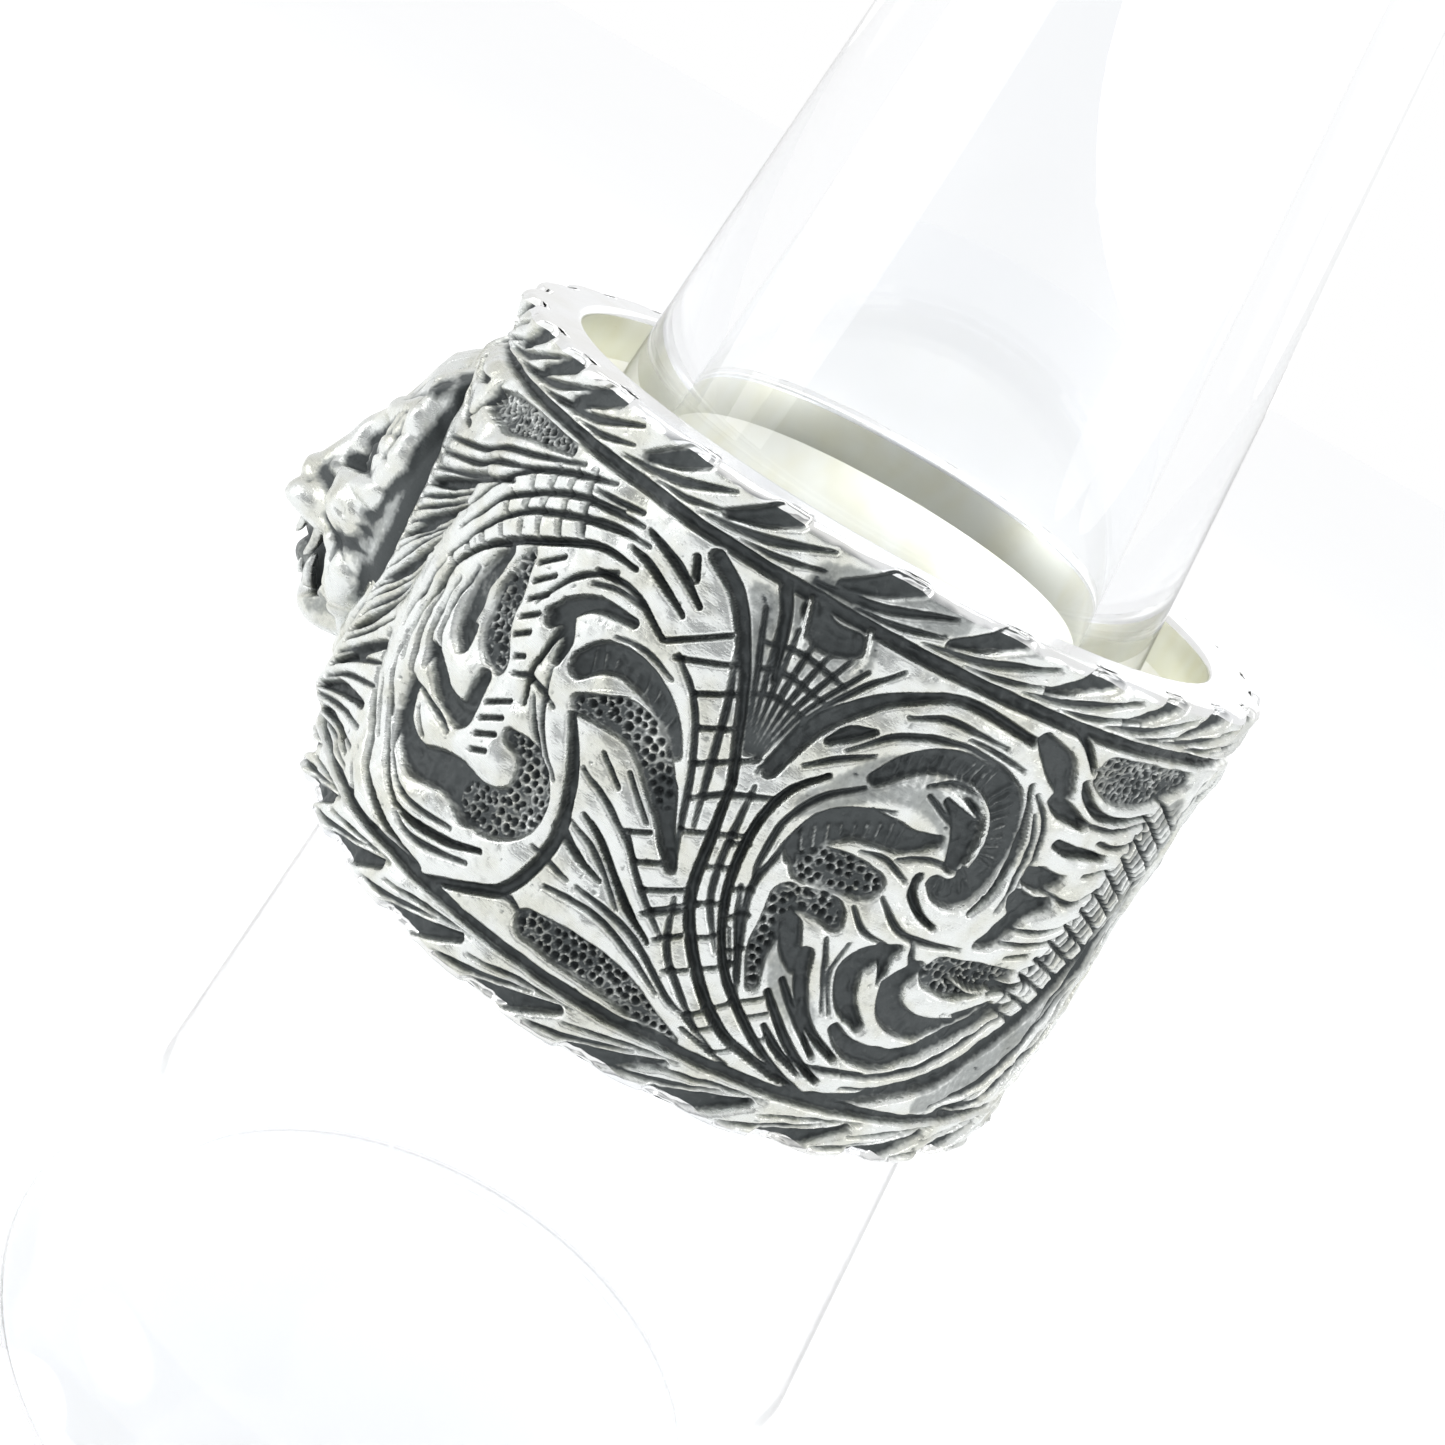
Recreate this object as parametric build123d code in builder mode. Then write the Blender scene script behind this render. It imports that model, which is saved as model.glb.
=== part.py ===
from build123d import *
from collections import namedtuple
from math import cos, radians, sin, tan
import os

# A heavy silver band ring with an open-mouthed cat head at its front, on a clear ring stand.
# Millimetres. The stand rests on z = 0 with the ring round its axis. The head looks along -Y.
# An azimuth is counted in degrees round the band, from 0 at the head to 180 at the back.

# Band
bore_diameter = 20.0
band_width = 14.6
wall = 1.75
relief_depth = 0.42
rim_round = 0.30
bore_edge_round = 0.20

# Leaf-cut border along each rim, with an incised line between it and the field
border_width = 1.45
line_width = 0.30
line_depth = 0.50
leaves_per_border = 28
leaf_cut_depth = 0.28
leaf_cut_width = 0.36
leaf_margin = 0.20
leaf_lean_share = 0.45

# Scroll relief in the field
root_depth = 0.20
stroke_reach = 3.0

# Cat head
head_width = 9.6
head_height = 10.0
head_reach = 3.9
mouth_width = 5.0
fang_length = 1.05
fang_radius = 0.34
eye_radius = 0.62
socket_radius = 0.95
ear_length = 2.3
ear_radius = 1.35
ear_wall = 0.40

# Stand
stand_height = 60.0
stand_base_diameter = 29.0
stand_edge_height = 1.2
stand_flare_height = 7.0
stand_taper_angle = 6.5
stand_tip_round = 3.0
stand_wall = 1.8
stand_foot_thickness = 1.5
stand_top_thickness = 3.0
ring_center_height = 28.5
seat_clearance = 0.10

bore_radius = bore_diameter / 2
band_radius = bore_radius + wall
ground_radius = band_radius - relief_depth
band_half = band_width / 2
border_half = band_half - border_width
field_half = border_half - line_width
pitch = 360 / leaves_per_border
head_half_width = head_width / 2
head_half_height = head_height / 2

# A raised stroke of the scrollwork is a leaf shape between two arcs that share their ends.
# Azimuths are in degrees, heights are shares of the field's half height, and top is the share
# of the relief's depth that the stroke stands up.
Stroke = namedtuple(
    "Stroke", "start_az start_h outer_az outer_h end_az end_h inner_az inner_h top"
)

near_scroll = [
    Stroke(37.0, 0.10, 55.0, -0.97, 70.0, -0.06, 57.0, -0.70, 1.00),
    Stroke(50.5, 0.54, 42.6, 0.04, 54.5, -0.27, 47.0, 0.06, 0.92),
    Stroke(52.0, 0.56, 63.0, 0.75, 75.0, 0.54, 64.0, 0.52, 0.96),
    Stroke(56.0, 0.46, 61.5, 0.28, 59.5, 0.02, 55.6, 0.22, 0.80),
    Stroke(44.0, -0.38, 50.0, -0.33, 56.0, -0.38, 50.0, -0.54, 0.78),
    Stroke(58.0, -0.33, 62.0, -0.18, 66.3, -0.26, 62.0, -0.46, 1.00),
    Stroke(65.5, 0.12, 77.0, 0.52, 89.6, -0.32, 76.0, 0.33, 0.98),
    Stroke(38.0, 0.40, 48.0, 0.86, 66.0, 0.90, 52.0, 0.62, 0.84),
    Stroke(66.0, 0.88, 72.0, 0.86, 77.0, 0.66, 70.0, 0.66, 0.90),
]

middle_stem = [
    Stroke(91.5, 0.30, 100.6, -0.40, 116.0, -0.98, 91.2, -0.62, 0.90),
    Stroke(74.0, -0.14, 83.0, -0.12, 90.0, -0.54, 80.5, -0.42, 0.95),
    Stroke(72.5, -0.56, 86.0, -0.52, 102.0, -0.95, 86.0, -0.66, 0.86),
    Stroke(68.5, -0.95, 72.5, -0.74, 77.0, -0.68, 74.5, -0.93, 0.80),
    Stroke(89.0, 0.24, 81.0, 0.60, 79.5, 0.92, 84.5, 0.62, 0.70),
    Stroke(90.0, 0.30, 88.2, 0.60, 89.5, 0.84, 91.4, 0.60, 0.62),
    Stroke(91.5, 0.30, 93.4, 0.62, 97.5, 0.88, 96.2, 0.60, 0.72),
]

far_scroll = [
    Stroke(99.5, 0.16, 113.0, 0.94, 128.0, -0.10, 114.0, 0.70, 1.00),
    Stroke(98.5, 0.52, 94.0, 0.04, 101.0, -0.42, 99.2, 0.04, 0.90),
    Stroke(103.0, 0.42, 112.0, 0.55, 119.5, 0.24, 110.0, 0.34, 0.94),
    Stroke(111.8, 0.14, 116.0, 0.29, 120.6, 0.20, 116.0, 0.08, 1.00),
    Stroke(113.5, 0.02, 119.0, -0.02, 127.0, -0.12, 119.5, -0.15, 0.96),
    Stroke(107.2, -0.06, 113.0, -0.08, 119.0, -0.20, 112.0, -0.28, 0.88),
    Stroke(104.2, -0.20, 108.0, -0.22, 110.5, -0.40, 106.0, -0.42, 0.76),
    Stroke(108.0, -0.34, 126.0, -0.97, 148.5, 0.06, 127.0, -0.67, 0.98),
    Stroke(121.5, -0.30, 126.0, -0.48, 134.0, -0.42, 127.0, -0.40, 0.60),
]

back_ribbon = [
    Stroke(131.5, 0.62, 142.0, 0.66, 150.5, 0.84, 141.0, 0.50, 0.86),
    Stroke(132.0, 0.40, 140.0, 0.42, 146.0, 0.52, 140.0, 0.24, 0.84),
    Stroke(131.5, 0.00, 138.0, 0.12, 142.0, 0.08, 137.0, -0.12, 0.80),
    Stroke(147.5, 0.90, 156.5, 0.26, 149.5, -0.42, 149.5, 0.26, 0.90),
    Stroke(159.0, 0.86, 168.5, 0.30, 160.5, -0.56, 163.5, 0.26, 0.84),
    Stroke(152.0, -0.60, 163.0, -0.72, 171.0, -0.94, 160.0, -0.90, 0.82),
    Stroke(170.0, 0.92, 177.0, 0.40, 176.0, -0.14, 172.6, 0.42, 0.90),
    Stroke(168.0, -0.52, 175.5, -0.40, 177.6, -0.86, 171.0, -0.72, 0.86),
]

head_rays = [
    Stroke(25.0, 0.66, 32.0, 0.72, 40.0, 0.80, 32.0, 0.60, 0.80),
    Stroke(24.5, 0.44, 30.0, 0.52, 37.0, 0.62, 31.0, 0.42, 0.84),
    Stroke(24.5, 0.08, 28.5, 0.30, 34.0, 0.42, 30.5, 0.12, 0.84),
    Stroke(25.0, -0.34, 30.5, -0.10, 33.0, 0.12, 31.5, -0.28, 0.80),
    Stroke(24.0, -0.62, 30.0, -0.50, 35.5, -0.54, 30.0, -0.72, 0.80),
    Stroke(23.0, -0.92, 30.0, -0.78, 37.0, -0.80, 31.0, -0.96, 0.84),
]

# Cross-sections of the head, seen from the front. reach is a share of head_reach, counted
# outwards from the band. width is a share of the half width, top and bottom of the half height.
Section = namedtuple("Section", "reach width top bottom")

skull_sections = [
    Section(-0.55, 0.98, 0.96, -0.96),
    Section(0.02, 0.95, 0.92, -0.90),
    Section(0.28, 0.80, 0.70, -0.60),
    Section(0.58, 0.60, 0.40, -0.50),
    Section(0.86, 0.47, 0.02, -0.53),
    Section(1.00, 0.28, -0.16, -0.47),
]

jaw_sections = [
    Section(-0.20, 0.64, -0.52, -0.98),
    Section(0.22, 0.50, -0.64, -1.00),
    Section(0.46, 0.40, -0.78, -0.98),
    Section(0.66, 0.26, -0.80, -0.93),
]

# Tapered bars on the head, with rounded ends. Each end has a sideways place, a reach and a
# height, as shares like the sections', and a thickness as a share of the half width.
Bar = namedtuple("Bar", "side reach height thickness side2 reach2 height2 thickness2")

paired_bars = [
    Bar(0.14, 0.66, 0.26, 0.080, 0.56, 0.30, 0.52, 0.125),
    Bar(0.56, 0.30, 0.52, 0.125, 0.78, 0.06, 0.60, 0.110),
    Bar(0.74, 0.06, 0.62, 0.120, 0.88, 0.04, 0.30, 0.135),
    Bar(0.88, 0.04, 0.30, 0.135, 0.78, 0.20, 0.00, 0.125),
    Bar(0.87, -0.02, -0.08, 0.120, 0.78, 0.06, -0.42, 0.110),
    Bar(0.70, 0.12, -0.26, 0.100, 0.50, 0.16, -0.72, 0.095),
    Bar(0.26, 0.72, -0.27, 0.235, 0.40, 0.44, -0.32, 0.200),
    Bar(0.52, 0.38, -0.06, 0.120, 0.70, 0.18, -0.04, 0.130),
]

middle_bars = [
    Bar(0.0, 0.58, 0.34, 0.180, 0.0, 0.82, -0.20, 0.150),
    Bar(0.0, 0.16, -0.74, 0.200, 0.0, 0.42, -0.76, 0.130),
]

# Places on the head as shares: sideways, reach and height
Place = namedtuple("Place", "side reach height")
eye_place = Place(0.42, 0.32, 0.20)
socket_place = Place(0.46, 0.62, 0.22)
ear_place = Place(0.66, -0.04, 0.50)
upper_fang_place = Place(0.24, 0.70, -0.50)
lower_fang_place = Place(0.20, 0.48, -0.84)
mouth_corners = [Place(0, 0.14, -0.64), Place(0, 1.10, -0.53), Place(0, 1.10, -0.86)]
ear_lean = Vector(0.30, 0.05, 1.0)
ear_opening = Vector(0.45, -1.0, 0.10)
fang_lean = 0.2
fang_tip_share = 0.25
ear_tip_share = 0.30


def facing(azimuth, distance):
    """Plane square to the radius at an azimuth, at a distance from the ring's axis, with its
    own x axis round the band and its y axis up."""
    turn = radians(azimuth)
    return Plane(
        origin=(distance * sin(turn), -distance * cos(turn), ring_center_height),
        x_dir=(cos(turn), sin(turn), 0),
        z_dir=(sin(turn), -cos(turn), 0),
    )


def on_facing(azimuth, height, middle):
    """Point of the band's chart, seen square on from the azimuth called middle."""
    return (band_radius * sin(radians(azimuth - middle)), height)


def arc_leaf(start, outer, end, inner, middle, floor_radius, top_radius, half_height):
    """Solid between two arcs that share their ends, cut to a shell round the band."""
    with BuildPart() as leaf:
        with BuildSketch(facing(middle, band_radius - stroke_reach)):
            with BuildLine():
                ThreePointArc(start, outer, end)
                ThreePointArc(end, inner, start)
            make_face()
        extrude(amount=2 * stroke_reach)
        with BuildSketch(Plane.XZ):
            with Locations(((floor_radius + top_radius) / 2, ring_center_height)):
                Rectangle(top_radius - floor_radius, 2 * half_height)
        revolve(axis=Axis.Z, mode=Mode.INTERSECT)
    return leaf.part


def raised_stroke(row):
    """One raised stroke of the scrollwork."""
    middle = (row.start_az + row.end_az) / 2
    corners = [
        on_facing(azimuth, height * field_half, middle)
        for azimuth, height in (
            (row.start_az, row.start_h),
            (row.outer_az, row.outer_h),
            (row.end_az, row.end_h),
            (row.inner_az, row.inner_h),
        )
    ]
    return arc_leaf(
        *corners,
        middle=middle,
        floor_radius=ground_radius - root_depth,
        top_radius=ground_radius + row.top * relief_depth,
        half_height=field_half,
    )


def leaf_cut(azimuth, side):
    """Slanted leaf-shaped cut in a border. side is 1 at the upper rim and -1 at the lower."""
    lean = leaf_lean_share * pitch
    low = border_half + leaf_margin
    high = band_half - leaf_margin
    if side < 0:
        low, high = -high, -low
    start = on_facing(-lean, low, 0)
    end = on_facing(lean, high, 0)
    center = ((start[0] + end[0]) / 2, (start[1] + end[1]) / 2)
    outer = (center[0] - leaf_cut_width / 4, center[1] + leaf_cut_width / 2)
    inner = (center[0] + leaf_cut_width / 4, center[1] - leaf_cut_width / 2)
    return arc_leaf(
        start,
        outer,
        end,
        inner,
        middle=0,
        floor_radius=band_radius - leaf_cut_depth,
        top_radius=band_radius + leaf_cut_depth,
        half_height=band_width,
    ).rotate(Axis.Z, azimuth)


def head_point(side, reach, height):
    """Point of the head from its shares of width, reach and height."""
    return Vector(
        side * head_half_width,
        -(band_radius + reach * head_reach),
        ring_center_height + height * head_half_height,
    )


def head_form(rows):
    """Solid lofted through the oval sections of a table."""
    with BuildPart() as form:
        for row in rows:
            middle = (row.top + row.bottom) / 2 * head_half_height
            plane = facing(0, band_radius + row.reach * head_reach)
            with BuildSketch(plane):
                with Locations((0, middle)):
                    Ellipse(
                        row.width * head_half_width,
                        (row.top - row.bottom) / 2 * head_half_height,
                    )
        loft()
    return form.part


def head_bar(row):
    """Tapered bar with rounded ends, on the head's +X side."""
    start = head_point(row.side, row.reach, row.height)
    end = head_point(row.side2, row.reach2, row.height2)
    start_radius = row.thickness * head_half_width
    end_radius = row.thickness2 * head_half_width
    length = (end - start).length
    with BuildPart(Plane(origin=start, z_dir=end - start)) as bar:
        Sphere(start_radius)
        Cone(
            start_radius,
            end_radius,
            length,
            align=(Align.CENTER, Align.CENTER, Align.MIN),
        )
        with Locations((0, 0, length)):
            Sphere(end_radius)
    return bar.part


def fang(place, direction):
    """Tooth as a tapered pin. direction is -1 for an upper fang and 1 for a lower one."""
    root = head_point(*place)
    with BuildPart(Plane(origin=root, z_dir=(0, -fang_lean, direction))) as tooth:
        Cone(
            fang_radius,
            fang_tip_share * fang_radius,
            fang_length,
            align=(Align.CENTER, Align.CENTER, Align.MIN),
        )
        Sphere(fang_radius)
    return tooth.part


def ear():
    """Cupped ear on the head's +X side, open to the front."""
    root = head_point(*ear_place)
    with BuildPart(Plane(origin=root, z_dir=ear_lean)) as cup:
        Cone(
            ear_radius,
            ear_tip_share * ear_radius,
            ear_length,
            align=(Align.CENTER, Align.CENTER, Align.MIN),
        )
    mouth = root + ear_opening * (ear_radius - ear_wall)
    with BuildPart(Plane(origin=mouth, z_dir=ear_lean)) as hollow:
        with Locations((0, 0, ear_wall)):
            Cone(
                ear_radius - ear_wall,
                ear_tip_share * (ear_radius - ear_wall),
                ear_length - ear_wall,
                align=(Align.CENTER, Align.CENTER, Align.MIN),
            )
    return cup.part - hollow.part


# Body of the band, turned from one section: rounded rims, borders, incised lines and ground
with BuildPart() as band:
    with BuildSketch(Plane.XZ) as band_section:
        with Locations(((bore_radius + band_radius) / 2, ring_center_height)):
            Rectangle(wall, band_width)
        with Locations((band_radius, ring_center_height)):
            Rectangle(2 * relief_depth, 2 * field_half, mode=Mode.SUBTRACT)
        for side in (-1, 1):
            line_height = side * (field_half + line_width / 2)
            with Locations((band_radius, ring_center_height + line_height)):
                Rectangle(2 * line_depth, line_width, mode=Mode.SUBTRACT)
        rim_corners = band_section.vertices().group_by(Axis.X)[-1]
        rim_corners = [corner for corner in rim_corners
                       if abs(corner.Z - ring_center_height) > band_half - rim_round]
        bore_corners = band_section.vertices().group_by(Axis.X)[0]
        fillet(rim_corners, rim_round)
        fillet(bore_corners, bore_edge_round)
    revolve(axis=Axis.Z)

# Cat head: skull, jaw, ruff, brows, muzzle and ears in one form, with the mouth cut open
with BuildPart() as head:
    add(head_form(skull_sections))
    add(head_form(jaw_sections))
    for side in (-1, 1):
        with Locations(head_point(side * socket_place.side, *socket_place[1:])):
            Sphere(socket_radius, mode=Mode.SUBTRACT)
        with Locations(head_point(side * eye_place.side, *eye_place[1:])):
            Sphere(eye_radius)
    for row in middle_bars:
        add(head_bar(row))
    for form in [head_bar(row) for row in paired_bars] + [ear()]:
        add(form)
        add(mirror(form, about=Plane.YZ))
    with BuildSketch(Plane.YZ):
        with BuildLine():
            corners = [head_point(*place) for place in mouth_corners]
            Polyline([(corner.Y, corner.Z) for corner in corners], close=True)
        make_face()
    extrude(amount=mouth_width / 2, both=True, mode=Mode.SUBTRACT)
    for tooth in (fang(upper_fang_place, -1), fang(lower_fang_place, 1)):
        add(tooth)
        add(mirror(tooth, about=Plane.YZ))
    with BuildSketch(Plane.XY.offset(ring_center_height)):
        Circle(bore_radius + wall / 4)
    extrude(amount=head_height, both=True, mode=Mode.SUBTRACT)

# The whole ring is one piece of metal
strokes = [
    raised_stroke(row)
    for table in (near_scroll, middle_stem, far_scroll, back_ribbon, head_rays)
    for row in table
]
strokes += [mirror(stroke, about=Plane.YZ) for stroke in strokes]

cuts = []
for index in range(leaves_per_border // 2):
    for side in (-1, 1):
        cut = leaf_cut((index + 0.5) * pitch, side)
        cuts += [cut, mirror(cut, about=Plane.YZ)]

with BuildPart() as ring:
    add(band.part)
    add(cuts, mode=Mode.SUBTRACT)
    add(strokes)
    add(head.part)
ring.part.label = "ring"

# Clear stand: a foot, a flare, a long cone that stops the ring at its seat, and a round tip.
# The same outline, set in by the wall, is the sealed hollow inside it.
seat_height = ring_center_height - band_half + bore_edge_round
seat_radius = bore_radius - seat_clearance
taper = tan(radians(stand_taper_angle))
base_radius = stand_base_diameter / 2


def cone_radius(height):
    return seat_radius - taper * (height - seat_height)


def turned_cone(inset, foot, edge, top, tip_round):
    foot_radius = base_radius - inset
    flare_end = (cone_radius(stand_flare_height) - inset, stand_flare_height)
    tip_end = (cone_radius(top) - inset, top)
    with BuildPart() as cone:
        with BuildSketch(Plane.XZ) as section:
            with BuildLine():
                Line((0, foot), (foot_radius, foot))
                Line((foot_radius, foot), (foot_radius, edge))
                TangentArc(flare_end, (foot_radius, edge), tangent=(taper, -1))
                Line(flare_end, tip_end)
                Line(tip_end, (0, top))
                Line((0, top), (0, foot))
            make_face()
            tip_corner = section.vertices().group_by(Axis.Y)[-1].sort_by(Axis.X)[-1]
            fillet(tip_corner, tip_round)
        revolve(axis=Axis.Z)
    return cone.part


with BuildPart() as ring_stand:
    add(turned_cone(0, 0, stand_edge_height, stand_height, stand_tip_round))
    add(
        turned_cone(
            stand_wall,
            stand_foot_thickness,
            stand_foot_thickness + stand_edge_height / 2,
            stand_height - stand_top_thickness,
            stand_tip_round - stand_wall,
        ),
        mode=Mode.SUBTRACT,
    )
ring_stand.part.label = "ring_stand"

os.makedirs("parts", exist_ok=True)
export_step(ring.part, "parts/ring.step")
export_step(ring_stand.part, "parts/ring_stand.step")
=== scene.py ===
"""Looks of a heavy silver band ring with an open-mouthed cat head, on a clear ring stand.

Shapes are worked out in millimetres from the middle of the ring and put in place in metres.
A chart azimuth is counted in degrees round the band, from 0 at the head through 90 at +X to
180 at the back. The carving is charted for the half from 0 to 180 and mirrored on the other.
"""

import logging
from dataclasses import dataclass, field
from enum import Enum
from functools import cache
from math import cos, hypot, pi, radians, sin, tan
from typing import Sequence

import bmesh
import bpy
import numpy as np
from mathutils import Matrix, Vector

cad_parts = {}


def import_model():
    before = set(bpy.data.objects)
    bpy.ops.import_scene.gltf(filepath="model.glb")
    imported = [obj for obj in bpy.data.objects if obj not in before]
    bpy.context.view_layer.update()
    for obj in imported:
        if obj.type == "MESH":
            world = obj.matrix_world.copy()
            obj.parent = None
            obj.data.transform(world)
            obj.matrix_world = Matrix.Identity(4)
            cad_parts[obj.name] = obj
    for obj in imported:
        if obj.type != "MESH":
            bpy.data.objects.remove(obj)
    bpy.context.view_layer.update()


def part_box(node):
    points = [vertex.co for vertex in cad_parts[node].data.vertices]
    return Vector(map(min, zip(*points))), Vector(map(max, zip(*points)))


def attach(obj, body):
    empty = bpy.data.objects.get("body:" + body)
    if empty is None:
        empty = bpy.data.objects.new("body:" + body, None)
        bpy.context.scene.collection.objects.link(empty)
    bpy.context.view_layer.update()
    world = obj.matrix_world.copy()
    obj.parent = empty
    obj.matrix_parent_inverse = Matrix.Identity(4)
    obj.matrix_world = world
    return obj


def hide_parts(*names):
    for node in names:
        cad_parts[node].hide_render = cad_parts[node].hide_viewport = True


LOG = logging.getLogger("cat_head_ring")
METRES = 0.001
BAKE_MAP = "OFBake"
# Mesh value of dark oxide, which also carries painted shade on the field's flanks and where the head meets
# the band.
OXIDE_AND_SHADE = "oxide_and_shade"
SEED = 11
END_SHARE = 0.25
BORDER_LINE = 5.8
SEAT_CLEARANCE = 0.10
CLEAN_OXIDE = 0.16

Point = tuple[float, float, float]
Path = tuple[Point, ...]
Colour = tuple[float, float, float, float]
Cells = tuple[slice, slice]


def line(half_width: float, *points: tuple[float, float]) -> Path:
    """A path of one width, with narrower ends.

    Args:
        half_width: Half width along the middle, in millimetres.
        points: Azimuth and height of each point.

    Returns:
        The points with a half width each.
    """
    widths = [half_width] * len(points)
    widths[0] = widths[-1] = END_SHARE * half_width
    return tuple((az, height, width) for (az, height), width in zip(points, widths))


def lines(half_width: float, *paths: Sequence[tuple[float, float]]) -> tuple[Path, ...]:
    """Several paths of one width."""
    return tuple(line(half_width, *path) for path in paths)


def family(half_width: float, count: int, first: Sequence[tuple[float, float]],
           last: Sequence[tuple[float, float]]) -> tuple[Path, ...]:
    """Lines that pass evenly from a first one to a last one.

    Args:
        half_width: Half width of each line, in millimetres.
        count: How many lines, both ends counted.
        first: Azimuth and height of the first line's points.
        last: The same for the last line, with as many points.

    Returns:
        One path for each line.
    """
    shares = np.linspace(0.0, 1.0, count)
    rows = [(1 - share) * np.array(first) + share * np.array(last) for share in shares]
    return tuple(line(half_width, *map(tuple, row)) for row in rows)


@dataclass(frozen=True)
class Carving:
    """One region of the chart. A point is an azimuth, a height and a half width.

    Attributes:
        hollows: Paths cut down to the ground.
        panels: Paths cut to the ground and stippled there.
        scores: Incised lines in what is left standing.
        ridges: Thin raised lines that stay standing across a hollow.
        combs: Fine low lines across the floor of a hollow.
        dulled: Paths that were never rubbed bright.
    """

    hollows: tuple[Path, ...] = ()
    panels: tuple[Path, ...] = ()
    scores: tuple[Path, ...] = ()
    ridges: tuple[Path, ...] = ()
    combs: tuple[Path, ...] = ()
    dulled: tuple[Path, ...] = ()


# The carving's regions, from beside the head round to the back
HEAD_SIDE = Carving(
    hollows=(
        ((7, 5.55, 0.16), (13.5, 5.0, 0.3), (18, 3.7, 0.4), (20.2, 1.6, 0.42), (20.4, -0.4, 0.4),
         (19.2, -2.6, 0.38), (15.5, -4.5, 0.32), (8, -5.5, 0.2)),
        ((24.6, 1.9, 0.05), (30, 2.4, 0.14), (36.5, 2.95, 0.02)),
        ((24.2, 0.2, 0.04), (29, 1.1, 0.15), (36.5, 2.3, 0.03)),
        ((23.9, -1.5, 0.04), (28.6, -0.3, 0.15), (34.5, 1.15, 0.03)),
        ((23.4, -2.9, 0.04), (28, -1.9, 0.14), (33.2, -0.4, 0.03)),
        ((22.4, -4.1, 0.04), (27.6, -3.2, 0.14), (33.5, -2.2, 0.03)),
        ((20.5, -5.0, 0.04), (27.5, -4.3, 0.14), (36, -3.9, 0.03)),
        ((21.5, -5.5, 0.03), (29, -5.1, 0.11), (37.5, -5.2, 0.03)),
        ((21.2, 4.4, 0.04), (24.4, 4.0, 0.12), (28.5, 3.9, 0.03)),
        ((18.2, 5.3, 0.04), (22.4, 4.95, 0.12), (27, 5.1, 0.03)),
    ),
    panels=(((30.3, 4.85, 0.25), (36, 4.95, 0.42), (43, 5.2, 0.28), (51, 5.4, 0.1)),),
    scores=(
        *lines(0.04, ((24, 3.2), (34, 3.75), (40, 4.3), (46, 4.7), (54.5, 5.35)),
               ((26, 3.9), (28.5, 4.5), (29.5, 5.3))),
        *lines(0.05, ((24, 2.75), (34, 3.35), (40, 3.9), (48, 4.45)),
               ((24.3, 2.3), (32, 2.85), (38.5, 3.4)), ((25, 2.0), (32.3, 2.7), (38.8, 3.3), (45, 3.85))),
        *family(0.04, 5, ((24.2, 1.4), (30, 2.0), (36.5, 2.7)),
                ((24.2, -0.2), (29.5, 0.8), (35.5, 1.7))),
        *family(0.04, 5, ((24, -0.8), (29, 0.4), (35, 1.5)),
                ((23.6, -2.4), (28.6, -1.3), (33.2, 0.0))),
        *family(0.04, 4, ((23.2, -3.3), (28.6, -2.3), (33, -1.4)),
                ((21.8, -4.6), (28.4, -3.8), (35.5, -3.3))),
        *family(0.04, 3, ((21, -5.2), (29, -4.7), (37.5, -4.4)),
                ((22, -5.7), (31, -5.4), (39, -5.5))),
    ),
)

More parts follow.
